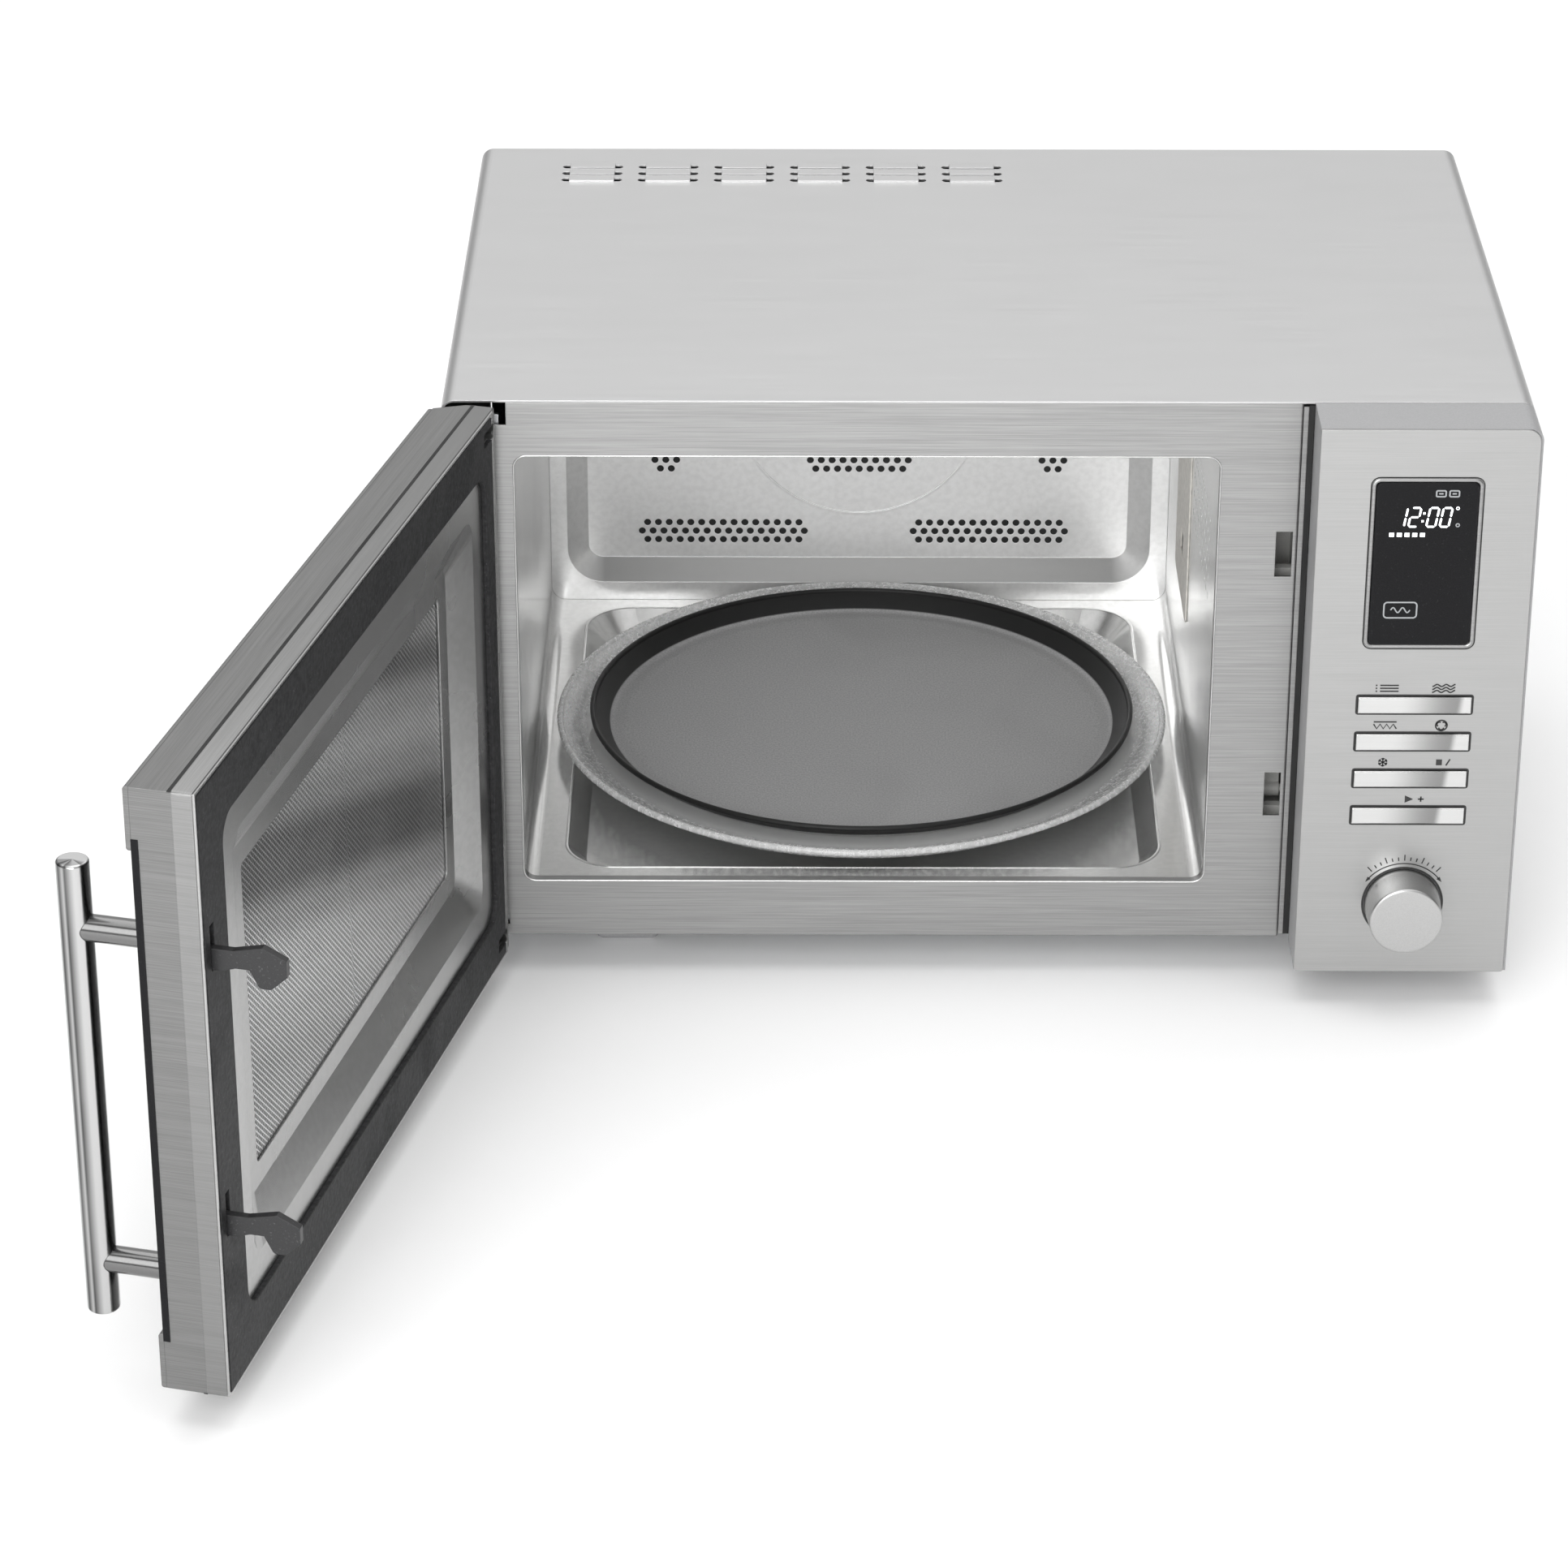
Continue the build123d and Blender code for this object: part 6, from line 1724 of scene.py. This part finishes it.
@dataclass
class PanelPrint:
    """Pictograms above the keys and the turning arc round the knob, printed on the panel, with a painted shadow
    ring round the knob.

    Attributes:
        line: Width of a printed line.
        offset: Distance of the outer pictograms from the middle of a key.
        rise: Height of a pictogram's middle over its key.
        arc_radius: Radius of the turning arc.
        scale: Size of the pictograms over their drawn size.
        ink: Thickness of the print.
    """

    line: float = 0.58
    offset: float = 13.4
    rise: float = 4.3
    arc_radius: float = 21.6
    scale: float = 1.3
    ink: float = 0.06

    def symbol(self, which: Symbol) -> list[Stroke]:
        """Strokes of one pictogram, about 3 mm high, centred on (0, 0).

        Args:
            which: The pictogram.

        Returns:
            Its strokes.
        """
        line, half, levels = self.line, 4.2, (1.2, 0, -1.2)
        if which is Symbol.LIST:
            rows = [dash(-2.6, z, 2.6 + half, line) for z in levels]
            return rows + [dash(-half, z, 0.6, line) for z in levels]
        if which is Symbol.WAVES:
            sweep = np.linspace(-half, half, 33)
            return [Stroke(np.stack([sweep, z + 0.42 * np.sin(sweep * 1.9)], 1), line) for z in levels]
        if which is Symbol.GRILL:
            zigzag = np.stack([np.linspace(-half, half, 8), np.tile([0.5, -1.4], 4)], 1)
            return [dash(-half, 1.4, 2 * half, line), Stroke(zigzag, line)]
        if which is Symbol.FAN:
            blades = [
                arc(0.9 * ray(t), 0.9, np.degrees(t) - 90, np.degrees(t) + 90) for t in (0.5, 2.6, 4.7)
            ]
            rim = Stroke(arc((0, 0), 2.1, 0, 360, 25)[:-1], line, True)
            return [Stroke(blade, line) for blade in blades] + [rim]
        if which is Symbol.FLAKE:
            arms = pi / 6 + np.arange(6) * pi / 3
            spokes = [np.array([-ray(t), ray(t)]) * 1.8 for t in (pi / 2, pi / 6, 5 * pi / 6)]
            tips = [arc(1.8 * ray(t), 0.6, np.degrees(t) + 110, np.degrees(t) + 250, 5) for t in arms]
            return [Stroke(points, line * 0.8) for points in spokes + tips]
        if which is Symbol.STOP:
            return [dash(-1.1, 0, 2.2, 2.4), Stroke(np.array([(2.6, -1.3), (4.0, 1.3)]), line)]
        triangle = Stroke(np.array([(-1.4, 0), (1.5, 0)]), np.array([3.0, 0.2]))
        return [triangle, dash(3.4, 0, 2.2, line), Stroke(np.array([(4.5, -1.1), (4.5, 1.1)]), line)]

    def knob_marks(self) -> list[Stroke]:
        """Arc with an arrowhead at each end, and a fan of ticks outside it.

        Returns:
            Their strokes about the knob's middle.
        """
        strokes = [Stroke(arc((0, 0), self.arc_radius, 142, 38, 40), self.line)]
        for turn, way in ((radians(142), 1), (radians(38), -1)):
            at = ray(turn) * self.arc_radius
            heading = ray(turn + pi / 2) * way
            strokes.append(Stroke(np.array([at - heading * 0.6, at + heading * 2.2]), np.array([2.0, 0.1])))
        inner = self.arc_radius + 1.6
        for count, turn in enumerate(np.radians(np.linspace(132, 48, 13))):
            outer = inner + (3.2 if count % 3 == 0 else 1.9)
            strokes.append(Stroke(np.array([ray(turn) * inner, ray(turn) * outer]), self.line))
        return strokes

    def build(self, book: FinishBook) -> None:
        """Print all marks on the panel skin, and a painted shadow ring round the knob.

        Args:
            book: The finishes.
        """
        front = box_of("control_panel_skin").low[1]
        shapes = []
        for key, symbols in KEY_SYMBOLS.items():
            key_box = box_of(key)
            x, height = key_box.centre[0], key_box.high[2] + self.rise
            places = [x] if len(symbols) == 1 else [x - self.offset, x + self.offset]
            for which, at in zip(symbols, places):
                grown = [
                    Stroke(s.points * self.scale, np.asarray(s.width) * self.scale, s.closed)
                    for s in self.symbol(which)
                ]
                shapes.append(drawn_on_front(grown, at, height, front, self.ink))
            outline = rounded_rectangle(key_box.size[0] + 1.3, key_box.size[2] + 1.3, 0.8, 3)
            surround = Stroke(outline, 0.9, True)
            shapes.append(drawn_on_front([surround], x, key_box.centre[2], front, 0.05))
        knob = box_of("knob")
        # Painted shadow: a dark ring in print ink round the knob stands for the shade in the gap.
        shadow = Stroke(arc((0, 0), knob.size[0] / 2 + 0.8, 0, 360, 97)[:-1], 1.0, True)
        marks = self.knob_marks() + [shadow]
        shapes.append(drawn_on_front(marks, knob.centre[0], knob.centre[2], front, self.ink))
        piece = piece_from("panel_print_and_knob_shadow", joined(shapes), "cabinet", smooth=False)
        book.put(piece, "print_ink")


@dataclass
class DialKnob:
    """Solid metal knob: a slightly tapered side, a fine chamfer and a barely domed face.

    Attributes:
        front_radius: Radius at the front edge.
        edge: Radius of the rounded front edge.
        dome: Rise of the face at its middle.
        sunk: How far its back lies behind the panel's face.
        hollow: Section of the shaft and the hollow back, as radius and height.
        steps: Steps round the knob.
    """

    front_radius: float = 17.5
    edge: float = 1.1
    dome: float = 0.35
    sunk: float = 0.6
    hollow: tuple[tuple[float, float], ...] = (
        (0, -8.0), (3.0, -8.0), (3.0, 12.0), (15.0, 12.0), (15.0, 0.4)
    )
    steps: int = 160

    def profile(self, back_radius: float, length: float) -> Array:
        """Section from the shaft's end round the front edge to the middle of the face.

        Args:
            back_radius: Radius at the back.
            length: Length of the knob.

        Returns:
            Rows of radius and height. The face rises as dome (1 - (r / front_radius)^2).
        """
        face = np.linspace(self.front_radius - self.edge, 0, 24)
        crown = length - self.dome + self.dome * (1 - (face / self.front_radius) ** 2)
        corner = (self.front_radius - self.edge, length - self.dome - self.edge)
        skirt = np.array([(back_radius - 0.5, 0.0), (back_radius, 0.5)])
        edge = arc(corner, self.edge, 4, 82, 7)
        return np.concatenate([np.array(self.hollow), skirt, edge, np.stack([face, crown], 1)])

    def build(self, book: FinishBook) -> None:
        """Make the knob with a hollow back and its shaft.

        Args:
            book: The finishes.
        """
        cad = box_of("knob")
        length = box_of("control_panel_skin").low[1] - cad.low[1] + self.sunk
        centre = np.array([cad.centre[0], cad.low[1] + length, cad.centre[2]])
        shape = lathe(self.profile(cad.size[0] / 2, length), centre, self.steps, axis=1)
        piece = piece_from("dial_knob", shape, "dial")
        book.put(piece, "knob_steel")
        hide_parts("knob")


# ---------------------------------------------------------------- studio
Place = tuple[float, float, float]


@dataclass
class Studio:
    """Floor, soft light and camera.

    Attributes:
        camera_at: Place of the camera.
        pitch: Its downward tilt in radians.
        yaw: Its turn about the upright in radians.
        lens: Focal length for a sensor of that width.
        sensor: Width of the sensor.
        floor_half: Half the side of the floor.
        walls: Place and brightness of the upright bands, from the left wall to the right.
        sky: Height and brightness from the horizon to the zenith.
        cavity_light: Place in metres of the light in the cavity's roof.
    """

    camera_at: Place = (-84.0, -2373.3, 1237.6)
    pitch: float = 0.475
    yaw: float = -0.0052
    lens: float = 117.07
    sensor: float = 36.0
    floor_half: float = 9000.0
    walls: tuple[tuple[float, float], ...] = (
        (0.0, 0.18), (
            0.10, 0.75
        ), (0.20, 0.22), (0.34, 1.0), (0.66, 1.0), (0.76, 0.35), (0.88, 0.9), (1.0, 0.2),
    )
    sky: tuple[tuple[float, float], ...] = ((0.0, 0.62), (0.3, 0.78), (0.6, 1.0), (1.0, 1.15))
    cavity_light: Place = (-0.056, -0.03, 0.262)

    def floor(self) -> None:
        """A wide pale floor under the feet."""
        mesh = bpy.data.meshes.new("studio_floor")
        half = self.floor_half * MM
        corners = [(-half, -half, 0), (half, -half, 0), (half, half, 0), (-half, half, 0)]
        mesh.from_pydata(corners, [], [(0, 1, 2, 3)])
        floor = bpy.data.objects.new("studio_floor", mesh)
        bpy.context.scene.collection.objects.link(floor)
        material = bpy.data.materials.new("studio_white")
        material.use_nodes = True
        shader = material.node_tree.nodes["Principled BSDF"]
        shader.inputs["Base Color"].default_value = (0.95, 0.95, 0.95, 1.0)
        shader.inputs["Roughness"].default_value = 0.9
        shader.inputs["Specular IOR Level"].default_value = 0.1
        mesh.materials.append(material)

    def surroundings(self) -> None:
        """Soft walls, bright overhead, with darker upright bands that give metal its streaks."""
        world = bpy.data.worlds.new("studio")
        bpy.context.scene.world = world
        world.use_nodes = True
        world.node_tree.nodes.clear()
        sheet = NodeSheet(world.node_tree)
        direction = sheet.axes(sheet.add("TexCoord").outputs["Generated"])
        bands = sheet.add("ValToRGB", {0: sheet.remap(direction.outputs[0], -1.0, 1.0)})
        fill_ramp(bands.color_ramp, self.walls)
        rise = sheet.add("ValToRGB", {0: sheet.math("MAXIMUM", direction.outputs[2], 0.0)})
        fill_ramp(rise.color_ramp, self.sky)
        mixed = {0: 1.0, 6: bands.outputs[0], 7: rise.outputs[0]}
        studio = sheet.add("Mix", mixed, data_type="RGBA", blend_type="MULTIPLY")
        seen = sheet.add("LightPath").outputs["Is Camera Ray"]
        colour = sheet.blend(seen, studio.outputs[2], (0.98, 0.98, 0.98, 1.0))
        background = sheet.add("Background", {"Color": colour, "Strength": 1.0})
        sheet.add("OutputWorld", {0: background.outputs[0]})

    def softbox(self, name: str, at: Place, aim: Place, side: float, power: float) -> None:
        """Square soft light.

        Args:
            name: Name of the light.
            at: Its place in metres.
            aim: Point that it faces.
            side: Length of a side in metres.
            power: Power in watts.
        """
        data = bpy.data.lights.new(name, "AREA")
        data.shape, data.size, data.energy = "SQUARE", side, power
        light = bpy.data.objects.new(name, data)
        light.location = at
        light.rotation_euler = (Vector(aim) - Vector(at)).to_track_quat("-Z", "Y").to_euler()
        bpy.context.scene.collection.objects.link(light)

    def lights(self) -> None:
        """Three softboxes outside and a small one in the cavity's roof."""
        x, y, _ = self.cavity_light
        self.softbox("overhead", at=(0.0, 0.4, 3.2), aim=(0.0, 0.0, 0.2), side=4.0, power=60.0)
        self.softbox("front", at=(-1.4, -3.0, 1.8), aim=(0.0, 0.0, 0.1), side=2.2, power=40.0)
        self.softbox("low_front", at=(-0.5, -2.6, 0.75), aim=(-0.05, 0.0, 0.16), side=1.3, power=26.0)
        self.softbox("cavity", at=self.cavity_light, aim=(x, y + 0.02, 0.0), side=0.26, power=0.16)

    def camera(self) -> None:
        """Camera above the front, looking down at the open oven."""
        data = bpy.data.cameras.new("camera")
        data.sensor_width, data.lens = self.sensor, self.lens
        data.clip_start, data.clip_end = 0.1, 60.0
        camera = bpy.data.objects.new("camera", data)
        turn = Matrix.Rotation(-self.yaw, 4, "Z") @ Matrix.Rotation(pi / 2 - self.pitch, 4, "X")
        camera.matrix_world = Matrix.Translation(Vector(self.camera_at) * MM) @ turn
        bpy.context.scene.collection.objects.link(camera)
        bpy.context.scene.camera = camera

    def build(self) -> None:
        """Set up the whole studio."""
        self.floor()
        self.surroundings()
        self.lights()
        self.camera()
        bpy.context.scene.view_settings.view_transform = "Standard"
        LOG.info("studio ready")


OWN_FINISH = {
    "control_panel_skin": "panel_steel",
    "door_frame": "door_steel",
    "door_bands": "door_steel",
    "door_plate": "dish_steel",
    "cavity_back_wall": "back_wall_steel",
    "feet": "panel_plastic",
    "handle_posts": "post_steel",
    # Painted shade: the convection housing, fan and heater are darkened so that the holes in the back wall read
    # black.
    "convection_housing": "dark_lining",
    "convection_fan": "dark_lining",
    "convection_heater": "dark_lining",
    "rocker_upper": "key_steel",
    "rocker_middle": "key_steel",
    "rocker_lower": "key_steel",
    "start_button": "key_steel",
}


def main() -> None:
    """Build the studio, the finishes and every piece, in order."""
    logging.basicConfig(level=logging.INFO, format="%(name)s: %(message)s")
    swing = DoorSwing()
    Studio().build()
    book = FinishBook(swing)
    book.dress_nodes(OWN_FINISH)
    for assembly in (
        DoorScreen(swing), DoorEdgeBand(swing), GlassEdge(swing), ShadeSheetsAndFlange(), CavityTrim(),
        GlassPlate(), Tray(), Readout(), PanelPrint(), DialKnob(),
    ):
        assembly.build(book)


if __name__ == "__main__":
    main()
